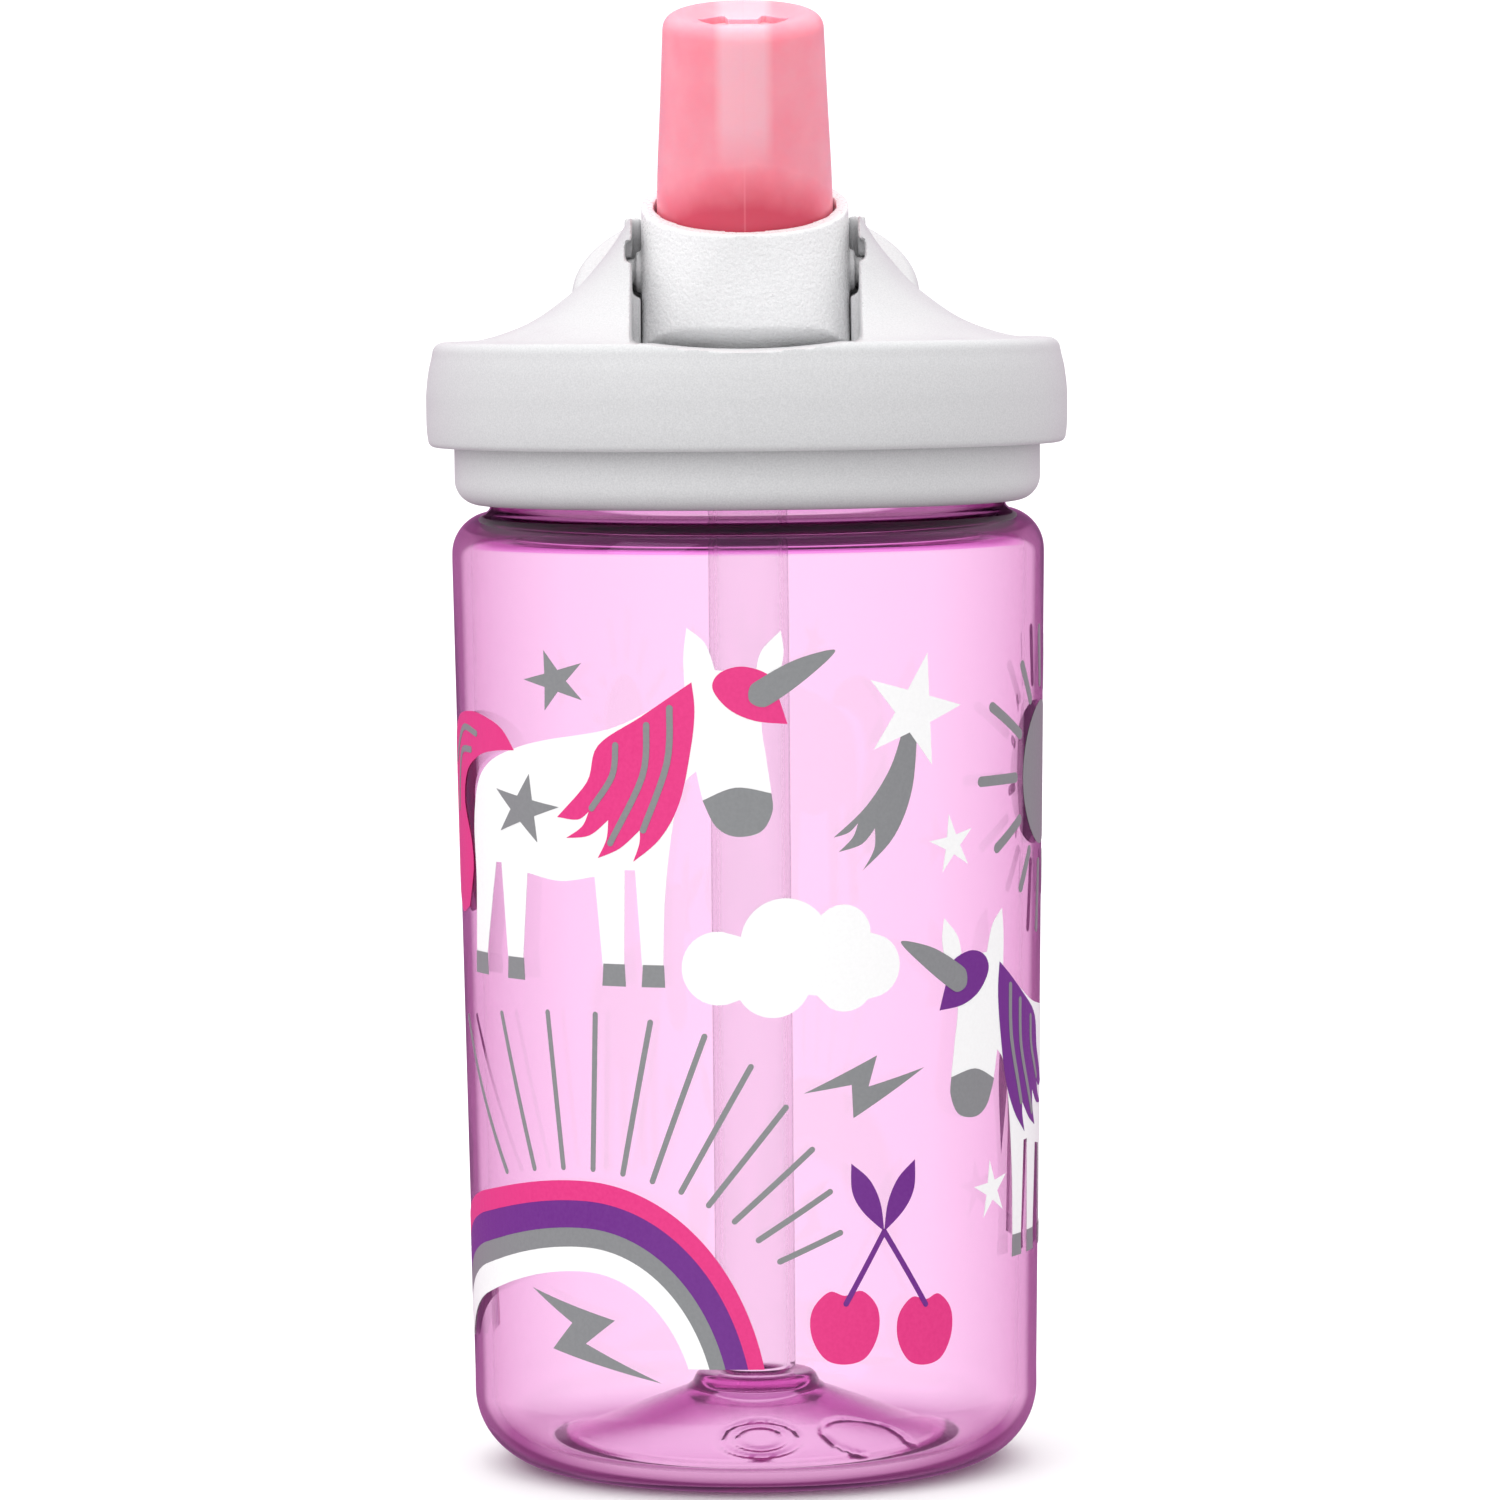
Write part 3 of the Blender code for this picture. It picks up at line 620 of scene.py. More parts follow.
def bottle_outline():
    """From the middle of the floor, up the inside, over the rim and down the outside."""
    slope = math.tan(PUSH_UP_SLOPE)
    foot_inner = FOOT_RADIUS - FOOT_WIDTH
    cone_low = WALL + 0.0008
    cone_high = cone_low + (PUSH_UP_RADIUS - NUB_RADIUS) * slope
    shoulder = SIDE_HIGH_RADIUS - SHOULDER_CORNER
    inner_shoulder = SHOULDER_CORNER - WALL
    inside_low = SIDE_LOW_RADIUS - WALL
    inside_high = SIDE_HIGH_RADIUS - WALL
    dip = 0.0010
    floor = [(0.0, NUB_TOP - dip), (0.0026, NUB_TOP - dip), (0.0034, NUB_TOP - 0.8 * dip)]
    floor += [(0.0041, NUB_TOP - 0.15 * dip), (0.0048, NUB_TOP), (0.0060, NUB_TOP)]
    floor += arc(NUB_RADIUS - 0.0009, NUB_TOP - 0.0009, 0.0009, 80, 25, 4)
    floor += [(NUB_RADIUS + 0.0003, cone_high + 0.0002)]
    blend = 0.0012
    cone_start = (NUB_RADIUS + blend, cone_high - blend * slope)
    floor += spaced(cone_start, (PUSH_UP_RADIUS, cone_low), 0.0005)
    floor += [(0.0240, 0.00264), (0.0245, 0.00232)]
    inside = arc(FOOT_RADIUS, BASE_CORNER, BASE_CORNER - WALL, -88, 0, 20)
    inside += spaced((inside_low, BASE_CORNER + 0.002), (inside_high, SHOULDER_START - 0.001), 0.004)
    inside += arc(shoulder, SHOULDER_START, inner_shoulder, 0, 82, 8)
    neck_start = SHOULDER_START + inner_shoulder + 0.0010
    inside += [(NECK_BORE + 0.0006, neck_start - 0.0002), (NECK_BORE, neck_start + 0.0006)]
    neck = spaced((NECK_BORE, neck_start + 0.002), (NECK_BORE, NECK_TOP - 0.0008), 0.003)
    neck += arc(NECK_BORE + 0.0005, NECK_TOP - 0.0005, 0.0005, 170, 100, 4)
    neck += arc(NECK_RADIUS - 0.0005, NECK_TOP - 0.0005, 0.0005, 80, 10, 4)
    top = SHOULDER_START + SHOULDER_CORNER
    neck += spaced((NECK_RADIUS, NECK_TOP - 0.001), (NECK_RADIUS, top + 0.0009), 0.003)
    outside = [(NECK_RADIUS + 0.0002, top + 0.0003)]
    outside += arc(shoulder, SHOULDER_START, SHOULDER_CORNER, 80, 0, 16)
    side_top = (SIDE_HIGH_RADIUS, SHOULDER_START - 0.001)
    outside += spaced(side_top, (SIDE_LOW_RADIUS, BASE_CORNER + 0.002), 0.004)
    outside += arc(FOOT_RADIUS, BASE_CORNER, BASE_CORNER, 0, -90, 26)
    under = [(foot_inner, 0.0), (foot_inner - 0.0007, 0.0001), (foot_inner - 0.0014, 0.00045)]
    cone_foot = foot_inner - 0.0020
    rise = 0.00065
    under_high = rise + (cone_foot - NUB_RADIUS) * slope
    under += spaced((cone_foot, rise), (NUB_RADIUS, under_high), 0.00045)
    hollow = NUB_HOLLOW_RADIUS
    under += [(hollow + 0.0008, under_high + 0.0003), (hollow + 0.0002, under_high + 0.0008)]
    under += arc(hollow - 0.0008, NUB_HOLLOW_TOP - 0.0008, 0.0008, 0, 90, 5)
    under += spaced((hollow - 0.0016, NUB_HOLLOW_TOP), (0.0, NUB_HOLLOW_TOP), 0.0012)
    return floor + inside + neck + outside + under


def emboss_base(mesh):
    """Two plain moulded rings, raised a little on the push-up's underside."""
    rings = [((0.0004, -0.0150), 0.0044), ((0.0004, -0.0150), 0.0028), ((0.0125, -0.0118), 0.0050)]
    height = 0.00028
    half = 0.00055
    cone_foot = FOOT_RADIUS - FOOT_WIDTH - 0.0020
    for vertex in mesh.vertices:
        radius = math.hypot(vertex.co.x, vertex.co.y)
        middle = 0.0012 + (cone_foot - radius) * math.tan(PUSH_UP_SLOPE)
        if radius > cone_foot + 0.0005 or vertex.co.z > middle:
            continue
        for (x, y), size in rings:
            off = abs(math.hypot(vertex.co.x - x, vertex.co.y - y) - size)
            if off < half:
                vertex.co.z -= height * math.cos(math.pi / 2 * off / half) ** 2
    mesh.update()


def body_radius(height):
    share = (height - BASE_CORNER) / (SHOULDER_START - BASE_CORNER)
    return SIDE_LOW_RADIUS + (SIDE_HIGH_RADIUS - SIDE_LOW_RADIUS) * share


def on_outer_skin(point):
    """Whether a point is on the bottle's outside, from the foot to under the lid."""
    radius = math.hypot(point.x, point.y)
    if point.z < BASE_CORNER:
        depth = BASE_CORNER - math.dist((radius, point.z), (FOOT_RADIUS, BASE_CORNER))
        return radius > FOOT_RADIUS - FOOT_WIDTH and depth < WALL / 2
    if point.z > SHOULDER_START + SHOULDER_CORNER - 0.0001:
        return radius > NECK_RADIUS - 0.0003 and point.z < SKIRT_BOTTOM + 0.0015
    if point.z > SHOULDER_START:
        centre = (SIDE_HIGH_RADIUS - SHOULDER_CORNER, SHOULDER_START)
        return SHOULDER_CORNER - math.dist((radius, point.z), centre) < WALL / 2
    return radius > body_radius(point.z) - WALL / 2


def edge_shade_lead(point):
    """How much sooner the skin darkens to deep purple painted shade, on the foot and on the shoulder under
    the lid.
    """
    foot = min(1.0, max(0.0, (BASE_CORNER - point.z) / BASE_CORNER))
    shoulder = min(1.0, max(0.0, (point.z - SHOULDER_START) / (0.7 * SHOULDER_CORNER)))
    return 0.30 * foot ** 2 + 0.55 * shoulder ** 2


def painted_lid_shade(point):
    """Whether a point is inside the shoulder or the neck, where the lid shuts out the light and purple
    shade is painted.
    """
    return point.z > SHOULDER_START + 0.0006 and not on_outer_skin(point)


def pushed_up(point):
    """Whether a point is on the push-up or its nub, which are moulded less clear."""
    return math.hypot(point.x, point.y) < FOOT_RADIUS - FOOT_WIDTH and point.z < BASE_CORNER + 0.002


def build_bottle(material):
    mesh = lathe_mesh("bottle_shell", bottle_outline(), closed=False)
    emboss_base(mesh)
    bottle = add_object("bottle_shell", mesh, material)
    boolean(bottle, thread_bead("neck_thread", NECK_BEAD_RADIUS, NECK_BEAD_START, 0.0), "UNION")
    marks = {OUTER_SKIN: on_outer_skin, EDGE_SHADE_LEAD: edge_shade_lead, PAINTED_LID_SHADE: painted_lid_shade, PUSHED_UP: pushed_up}
    for name, rule in marks.items():
        values = bottle.data.attributes.new(name, "FLOAT", "POINT").data
        for vertex, value in zip(bottle.data.vertices, values):
            value.value = float(rule(vertex.co))
    return finish_piece(bottle, "bottle", "tinted_copolyester", "bottle_body")


# ---- Artwork ---------------------------------------------------------------------

def from_front(x):
    """The distance round the body of a point x from the middle, as seen from the front."""
    limit, slope, room = 32.5, 2.3, 22.0
    if abs(x) < limit:
        return INK_RADIUS * math.asin(x / INK_RADIUS)
    beyond = room * (1 - math.exp(-(abs(x) - limit) * slope / room))
    return math.copysign(INK_RADIUS * math.asin(limit / INK_RADIUS) + beyond, x)


def placed(points, across, up, scale=1.0, turn_deg=0.0, mirror=False):
    """Move a shape drawn about its own origin to its place on the body."""
    turn = math.radians(turn_deg)
    result = []
    for a, b in points:
        a = -a if mirror else a
        x = a * math.cos(turn) - b * math.sin(turn)
        y = a * math.sin(turn) + b * math.cos(turn)
        result.append((across + x * scale, up + y * scale))
    return result


def star(outer, inner=0.40, turn_deg=0.0, widen=1.0):
    points = []
    for i in range(10):
        radius = outer if i % 2 == 0 else outer * inner
        angle = math.radians(90 + turn_deg + 36 * i)
        points.append((widen * radius * math.cos(angle), radius * math.sin(angle)))
    return points


def stroke(points, width, steps=6):
    """A line of even width with round ends."""
    line = catmull(points, steps) if len(points) > 2 else list(points)
    left, right = [], []
    for i, (x, y) in enumerate(line):
        before = line[max(i - 1, 0)]
        after = line[min(i + 1, len(line) - 1)]
        angle = math.atan2(after[1] - before[1], after[0] - before[0])
        dx, dy = math.sin(angle) * width / 2, math.cos(angle) * width / 2
        left.append((x - dx, y + dy))
        right.append((x + dx, y - dy))
    first = math.degrees(math.atan2(line[1][1] - line[0][1], line[1][0] - line[0][0]))
    last = math.degrees(math.atan2(line[-1][1] - line[-2][1], line[-1][0] - line[-2][0]))
    end_cap = arc(*line[-1], width / 2, last + 72, last - 72, 4)
    start_cap = arc(*line[0], width / 2, first + 252, first + 108, 4)
    return left + end_cap + right[::-1] + start_cap


def blob(runs, steps=6):
    """A closed outline that is smooth along each run of points and has a corner where one starts."""
    outline = []
    for run, following in zip(runs, runs[1:] + runs[:1]):
        stretch = run + following[:1]
        outline += catmull(stretch, steps if len(stretch) > 2 else 1)[:-1]
    return outline


def cloud(lobes):
    """The outline round a group of overlapping discs (x, y, radius)."""
    outline = []
    for i in range(120):
        angle = 2 * math.pi * i / 120
        dx, dy = math.cos(angle), math.sin(angle)
        reach = 0.0
        for x, y, radius in lobes:
            along = x * dx + y * dy
            across = x * dy - y * dx
            if abs(across) < radius:
                reach = max(reach, along + math.sqrt(radius ** 2 - across ** 2))
        outline.append((reach * dx, reach * dy))
    return outline


BOLT = [(-8.9, 5.0), (3.9, 2.1), (-0.3, -0.9), (9.9, -5.0), (-5.5, -1.9), (-2.3, 1.4)]
SMALL_BOLT = [(-7.7, -0.4), (1.3, 3.7), (0.2, 0.1), (7.7, 1.9), (-1.7, -3.5), (-1.9, 0.4)]

# Each of these outlines is a list of runs, and each run starts at a corner.
PONY_BODY = [
    [(0.6, 34.6), (0.5, 38.4)], [(0.9, 41.7), (3.0, 39.9)], [(4.1, 36.8)], [(8.7, 36.4), (9.4, 39.0)],
    [(11.6, 41.3), (11.9, 38.6)],
    [(11.2, 35.4), (9.4, 31.2), (9.9, 26.2), (10.4, 21.4), (9.2, 18.1), (6.3, 17.6), (4.0, 18.8),
     (2.6, 21.6)], [(1.8, 25.1), (0.0, 23.0), (-1.2, 17.6), (-2.1, 10.0)], [(-2.4, 2.2)], [(-5.0, 2.2)],
    [(-5.7, 13.5)], [(-7.0, 13.5)], [(-7.3, 2.2)], [(-10.1, 2.2)], [(-11.0, 12.6), (-16.0, 11.9)],
    [(-21.4, 12.6)], [(-22.6, 2.2)], [(-25.6, 2.2)], [(-26.6, 13.5)], [(-27.8, 13.5)], [(-30.8, 2.2)],
    [(-34.2, 2.2), (-33.6, 11.0), (-33.9, 17.5), (-32.4, 22.4), (-29.0, 25.2), (-23.4, 27.1),
     (-18.0, 28.3), (-9.0, 29.8), (-3.4, 32.2)],
]
PONY_MUZZLE = [
    [(2.5, 21.7), (6.3, 23.2)], [(10.4, 22.5), (10.5, 20.4), (9.2, 18.1), (6.3, 17.5), (4.0, 18.7)],
]
PONY_MANE = [
    [(1.4, 35.4), (-4.6, 31.4), (-10.2, 27.9), (-11.8, 23.6)], [(-16.2, 19.4), (-13.2, 19.2)],
    [(-11.6, 20.2), (-12.6, 18.4)], [(-14.9, 17.0), (-11.6, 17.4)], [(-9.0, 19.3), (-9.3, 17.0)],
    [(-10.5, 14.8), (-7.6, 16.0)], [(-5.0, 18.2), (-5.1, 16.6)],
    [(-5.9, 14.5), (-2.6, 17.2), (-0.2, 21.4), (1.2, 27.6), (1.7, 32.0)],
]
PONY_FORELOCK = [
    [(12.3, 30.5), (8.6, 30.9), (5.6, 32.3), (3.8, 34.7), (4.7, 36.5), (7.3, 37.2), (10.3, 36.1),
     (11.3, 33.6)],
]
PONY_HORN = [
    (9.1, 35.7), (8.0, 34.7), (8.0, 33.2), (9.3, 32.5), (10.7, 33.0), (14.0, 35.3), (17.4, 38.2),
    (17.4, 39.0), (13.2, 37.9),
]
PONY_TAIL = [
    [(-23.4, 26.9), (-25.7, 29.2), (-29.0, 30.4), (-34.0, 31.0), (-40.0, 30.0), (-44.4, 26.4),
     (-46.4, 19.4), (-45.2, 11.0), (-41.0, 6.8)],
    [(-36.6, 7.6), (-34.6, 12.0), (-35.0, 15.5), (-37.6, 20.0), (-36.2, 23.6), (-31.8, 25.8),
     (-27.7, 26.6)],
]
PONY_SHORT_TAIL = [
    [(-33.0, 21.8), (-29.8, 26.0), (-33.6, 27.2), (-37.0, 24.0), (-38.0, 17.6)],
    [(-36.8, 9.0), (-35.4, 14.0)],
]
HOOVES = [(-2.3, 2.8), (-7.2, 3.0), (-22.4, 3.3), (-30.6, 3.8)]
MANE_LINES = [
    [(-1.2, 32.4), (-1.6, 26.0), (-4.6, 18.2)],
    [(-4.0, 30.4), (-4.6, 24.4), (-8.8, 16.6)],
    [(-7.9, 28.0), (-8.4, 24.4), (-11.2, 20.6)],
]
TAIL_LINES = [
    [(-32.4, 28.4), (-37.4, 28.8), (-42.0, 24.8)],
    [(-34.4, 26.4), (-38.8, 25.6), (-41.4, 19.0)],
]


def pony(across, up, mirror, hair, tail, tail_lines, shorter=0.0):
    """A plain pony shape: white body, coloured hair, grey hooves, muzzle and horn."""
    def put(runs):
        drawn = [[(a + shorter if a < -18 else a, b) for a, b in run] for run in runs]
        return placed(blob(drawn), across, up, mirror=mirror)

    shapes = [("white", 0, put(PONY_BODY))]
    for line in (PONY_MANE, tail, PONY_FORELOCK):
        shapes.append((hair, 1, put(line)))
    shapes.append(("grey", 1, put(PONY_MUZZLE)))
    horn = catmull(PONY_HORN, 6, closed=True)
    shapes.append(("grey", 2, placed(horn, across, up, mirror=mirror)))
    for right, width in HOOVES:
        hoof = [(right, 2.5), (right + 0.1, -0.1), (right - width, -0.1), (right - width + 0.2, 2.5)]
        shapes.append(("grey", 1, put([[corner] for corner in hoof])))
    for line in MANE_LINES + tail_lines:
        shapes.append(("grey", 2, placed(stroke(line, 0.78), across, up, mirror=mirror)))
    return shapes


def rainbow():
    """Four stripes that stand on a level line, longer on the left, and rays round them."""
    middle, up, level, steps = -20.0, 8.2, 7.6, 96
    lines = []
    for share in (0.0, 0.22, 0.52, 0.73, 1.0):
        high, right, left = 29.1 - 10.7 * share, 21.8 - 8.6 * share, 28.3 - 9.5 * share
        foot = math.asin(level / high)
        line = []
        for i in range(steps + 1):
            angle = foot + (math.pi - 2 * foot) * i / steps
            reach = right if angle < math.pi / 2 else left
            line.append((from_front(middle + reach * math.cos(angle)), up + high * math.sin(angle)))
        lines.append(line)
    shapes = []
    for colour, outer, inner in zip(("magenta", "purple", "grey", "white"), lines, lines[1:]):
        shapes.append((colour, 0, outer + inner[::-1]))
    for i in range(11):
        place = 41.4 + 6.66 * i
        lean = math.radians(place - 0.38 * max(0.0, 88.0 - place))
        length = 18.2 - 0.34 * max(0.0, 72.0 - place)
        x = middle + 30.6 * math.cos(math.radians(place))
        y = up + 30.6 * math.sin(math.radians(place))
        far = (from_front(x + length * math.cos(lean)), y + length * math.sin(lean))
        shapes.append(("grey", 0, stroke([(from_front(x), y), far], 0.70)))
    return shapes


def cherries():
    crossing = (15.8, 31.4)
    fruit = [(0.0, 0.86), (0.46, 0.98), (0.93, 0.50), (0.95, -0.20), (0.58, -0.82), (0.0, -1.0)]
    fruit += [(-0.60, -0.84), (-0.97, -0.22), (-0.95, 0.48), (-0.50, 0.96)]
    fruit = catmull(fruit, 6, closed=True)
    leaf = [
        [(0.0, 0.0), (2.7, 2.4), (4.1, 4.9)], [(4.2, 8.2), (1.9, 6.2), (0.5, 3.4)],
    ]
    shapes = []
    for side, x, y, size, stalk in ((-1, 10.8, 20.4, 4.35, 23.2), (1, 21.7, 19.4, 4.15, 22.4)):
        shapes.append(("magenta", 0, placed(fruit, x, y, size, mirror=side < 0)))
        shapes.append(("purple", 1, stroke([(x - side * 0.1, stalk), crossing], 0.68)))
        shapes.append(("purple", 1, placed(blob(leaf), *crossing, mirror=side < 0)))
    return shapes


def comet():
    tail = [
        [(18.4, 90.2), (16.7, 85.6), (13.6, 81.2)], [(9.6, 77.7), (11.4, 78.2)],
        [(12.6, 79.3), (11.9, 77.6)], [(10.2, 76.0), (13.0, 76.8)], [(14.7, 78.6), (14.6, 76.2)],
        [(13.2, 73.8), (17.2, 77.6), (19.6, 83.0)], [(20.3, 90.0)],
    ]
    return [("grey", 0, blob(tail)), ("white", 1, placed(star(6.9, 0.38, -15), 19.9, 92.1))]


def sun():
    across, up = 49.1, 83.2
    shapes = [("grey", 0, arc(across, up, 8.6, 0, 352.5, 47))]
    for i in range(13):
        angle = math.pi + 2 * math.pi * i / 13
        far = 18.6 - 1.3 * (i % 3) - 5.0 * max(0.0, math.cos(angle))
        ends = [(across + r * math.cos(angle), up + r * math.sin(angle)) for r in (10.9, far)]
        shapes.append(("grey", 0, stroke(ends, 1.25)))
    return shapes


def artwork():
    """Every printed shape as (colour, layer, outline)."""
    shapes = pony(-8.0, 60.5, False, "magenta", PONY_TAIL, TAIL_LINES)
    shapes += pony(35.9, 26.3, True, "purple", PONY_SHORT_TAIL, [], 7.5)
    shapes += rainbow() + cherries() + comet() + sun()
    shapes.append(("grey", 0, placed(star(3.7, 0.36, 18, 1.35), -24.3, 95.8)))
    shapes.append(("grey", 1, placed(star(4.2, 0.38, -12, 1.45), -30.0, 80.6)))
    shapes.append(("white", 0, placed(star(3.6, 0.34, 10), 25.6, 76.2)))
    shapes.append(("white", 0, placed(star(3.6, 0.34, 8), 33.1, 34.8)))
    lobes = [(-8.5, -0.7, 4.3), (-0.7, 2.2, 5.2), (6.1, 3.1, 3.4), (9.6, -0.8, 3.7), (-2.2, -2.0, 4.5)]
    lobes += [(6.3, -2.3, 3.7), (3.0, 0.5, 4.5)]
    shapes.append(("white", 0, placed(cloud(lobes), 4.6, 63.4)))
    shapes.append(("grey", 0, placed(BOLT, -21.3, 19.0)))
    shapes.append(("grey", 0, placed(SMALL_BOLT, 13.6, 48.4)))
    return shapes


def wrap(colour, shapes, material):
    """Thin printed plates of one colour, bent round the body."""
    work = bmesh.new()
    for _, layer, outline in shapes:
        work.faces.new([work.verts.new((a, layer, b)) for a, b in outline])
    work.normal_update()
    bmesh.ops.triangulate(work, faces=work.faces[:], ngon_method="EAR_CLIP")
    low = min(vertex.co.x for vertex in work.verts)
    high = max(vertex.co.x for vertex in work.verts)
    place = low + SLICE / 3
    while place < high:
        everything = work.verts[:] + work.edges[:] + work.faces[:]
        bmesh.ops.bisect_plane(work, geom=everything, dist=1e-5, plane_co=(place, 0, 0), plane_no=(1, 0, 0))
        place += SLICE
    for vertex in work.verts:
        across, layer, up = vertex.co
        angle = across / INK_RADIUS
        height = up / 1000
        radius = body_radius(height) + INK_GAP + INK_LAYER * layer
        vertex.co = (radius * math.sin(angle), -radius * math.cos(angle), height)
    for face in work.faces:
        face.normal_update()
        middle = face.calc_center_median()
        if face.normal.dot(Vector((middle.x, middle.y, 0.0))) < 0:
            face.normal_flip()
    obj = add_object("ink_" + colour, mesh_from(work, "ink_" + colour), material)
    thick = obj.modifiers.new("Thickness", "SOLIDIFY")
    thick.thickness = INK_THICKNESS
    thick.offset = 1.0
    settle(obj)
    obj.data.shade_flat()
    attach(obj, "bottle")
    return obj


def build_artwork():
    inks = {
        "white": ink("ink_white", (0.96, 0.96, 0.96), (0.93, 0.93, 0.93)),
        "grey": ink("ink_grey", (0.255, 0.265, 0.27), (0.235, 0.245, 0.25)),
        "magenta": ink("ink_magenta", (0.80, 0.036, 0.235), (0.76, 0.030, 0.215)),
        "purple": ink("ink_purple", (0.165, 0.024, 0.265), (0.150, 0.021, 0.245)),
    }
    shapes = artwork()
    for colour, material in inks.items():
        wrap(colour, [shape for shape in shapes if shape[0] == colour], material)


# ---- Lid -------------------------------------------------------------------------

def lid_base_outline():
    rounding = SKIRT_RADIUS - SKIRT_ROUNDING
    seat_outer = SEAT_RADIUS + SEAT_WALL
    rib_inner = RIB_RADIUS - RIB_WALL
    edge = 0.0003
    points = [(PORT_RADIUS, SEAT_FLOOR), (SEAT_RADIUS, SEAT_FLOOR), (SEAT_RADIUS, SEAT_TOP)]
    points += [(seat_outer - edge, SEAT_TOP), (seat_outer, SEAT_TOP - edge), (seat_outer, PLATE_TOP)]
    points += spaced((seat_outer + 0.001, PLATE_TOP), (rib_inner - 0.001, PLATE_TOP), 0.003)
    points += [(rib_inner, PLATE_TOP), (rib_inner, RIB_TOP), (RIB_RADIUS, RIB_TOP), (RIB_RADIUS, PLATE_TOP)]
    points += arc(SKIRT_RADIUS - 0.0008, PLATE_TOP - 0.0008, 0.0008, 90, 0, 5)
    points += spaced((SKIRT_RADIUS, PLATE_TOP - 0.002), (SKIRT_RADIUS, SKIRT_BOTTOM + 0.004), 0.002)
    points += arc(rounding, SKIRT_BOTTOM + SKIRT_ROUNDING, SKIRT_ROUNDING, 0, -84, 14)
    points += [(SKIRT_BORE, SKIRT_BOTTOM + 0.0003), (SKIRT_BORE, SKIRT_BOTTOM + 0.0012)]
    points += spaced((SKIRT_BORE, SKIRT_BOTTOM + 0.003), (SKIRT_BORE, PLATE_BOTTOM), 0.003)
    points += spaced((SKIRT_BORE - 0.002, PLATE_BOTTOM), (SOCKET_RADIUS + 0.001, PLATE_BOTTOM), 0.003)
    points += [(SOCKET_RADIUS, PLATE_BOTTOM), (SOCKET_RADIUS, SOCKET_BOTTOM + edge)]
    points += [(SOCKET_RADIUS - edge, SOCKET_BOTTOM), (STRAW_RADIUS + GAP + edge, SOCKET_BOTTOM)]
    points += [(STRAW_RADIUS + GAP, SOCKET_BOTTOM + edge), (STRAW_RADIUS + GAP, PLATE_BOTTOM)]
    points += [(PORT_RADIUS, PLATE_BOTTOM)]
    return points


def build_lid_base(material):
    mesh = lathe_mesh("lid_inner_cap", lid_base_outline())
    base = add_object("lid_inner_cap", mesh, material)
    drop = LID_BEAD_START - NECK_BEAD_START + THREAD_PITCH / 2
    start_angle = 2 * math.pi * drop / THREAD_PITCH
    boolean(base, thread_bead("lid_thread", LID_BEAD_RADIUS, LID_BEAD_START, start_angle), "UNION")
    boolean(base, cross_cylinder("saddle", BARREL_RADIUS + GAP, 0.009))
    vent = cylinder("vent", VENT_RADIUS, PLATE_BOTTOM - 0.001, PLATE_TOP + 0.001, 32)
    boolean(base, shifted(vent, VENT_Y))
    return finish_piece(base, "lid", "pearl_plastic", "lid_base")


def shroud_outline():
    """The bell and the band from the top down, then the hollow underneath."""
    bore = SKIRT_RADIUS + GAP
    under_roof = LID_TOP - ROOF
    flare = catmull(TOWER_FLARE + [(0.0362, LID_TOP)], 4)
    points = [(0.0, TOWER_FLARE[0][1]), (0.006, TOWER_FLARE[0][1])] + flare
    points += arc(0.0362, LID_TOP - 0.0014, 0.0014, 80, 14, 8)
    side = [(0.0377, LID_TOP - 0.0018), (0.0381, LID_TOP - 0.0036), (BAND_RADIUS, LID_TOP - 0.0064)]
    side += [(BAND_RADIUS, BAND_BOTTOM + 0.0030), (BAND_RADIUS - 0.0001, BAND_BOTTOM + 0.0014)]
    points += [(min(radius, BAND_RADIUS), height) for radius, height in catmull(side, 5)]
    points += arc(BAND_RADIUS - 0.0010, BAND_BOTTOM + 0.0008, 0.0008, 0, -90, 8)
    points += [(bore, BAND_BOTTOM), (bore, under_roof), (0.0, under_roof)]
    return points


def tower_hollow():
    under_roof = LID_TOP - ROOF - 0.001
    points = [(0.0, TOWER_FLARE[4][1] + 0.0005)]
    for radius, height in TOWER_FLARE[4:8]:
        points.append((radius - 0.6 * ROOF, height - 0.9 * ROOF))
    points += [(0.0286, LID_TOP - ROOF), (0.0286, under_roof), (0.0, under_roof)]
    hollow = add_object("hollow", lathe_mesh("hollow", points, 96, closed=False))
    cheek_outer = CHANNEL_HALF + CHEEK
    boolean(hollow, box("core", (-cheek_outer, -0.05, 0.12), (cheek_outer, 0.05, 0.16)))
    return hollow


def loop_path():
    """The middle line of the carry loop, in its own tilted plane."""
    middle = (LOOP_OUTER + LOOP_INNER) / 2
    path = spaced((middle, -LOOP_LEG), (middle, -0.001), 0.001)
    path += arc(0.0, 0.0, middle, 0, 180, 72)
    path += spaced((-middle, -0.001), (-middle, -LOOP_LEG), 0.001)
    return path


def loop_mesh(name, rounding=0.0019):
    """The loop: a rounded bar swept round a U."""
    half_width = (LOOP_OUTER - LOOP_INNER) / 2
    half_height = LOOP_THICKNESS / 2
    section = []
    for a, b, start in ((1, 1, 0), (-1, 1, 90), (-1, -1, 180), (1, -1, 270)):
        centre = (a * (half_width - rounding), b * (half_height - rounding))
        section += arc(*centre, rounding, start, start + 90, 6)
    path = loop_path()
    rings = []
    for i, (x, y) in enumerate(path):
        before, after = path[max(i - 1, 0)], path[min(i + 1, len(path) - 1)]
        angle = math.atan2(after[1] - before[1], after[0] - before[0]) - math.pi / 2
        rings.append([(x + out * math.cos(angle), y + out * math.sin(angle), up) for out, up in section])
    mesh = sweep_mesh(name, rings)
    mesh.transform(Matrix.Translation((0.0, LOOP_Y, LOOP_Z)) @ Matrix.Rotation(LOOP_TILT, 4, "X"))
    return mesh


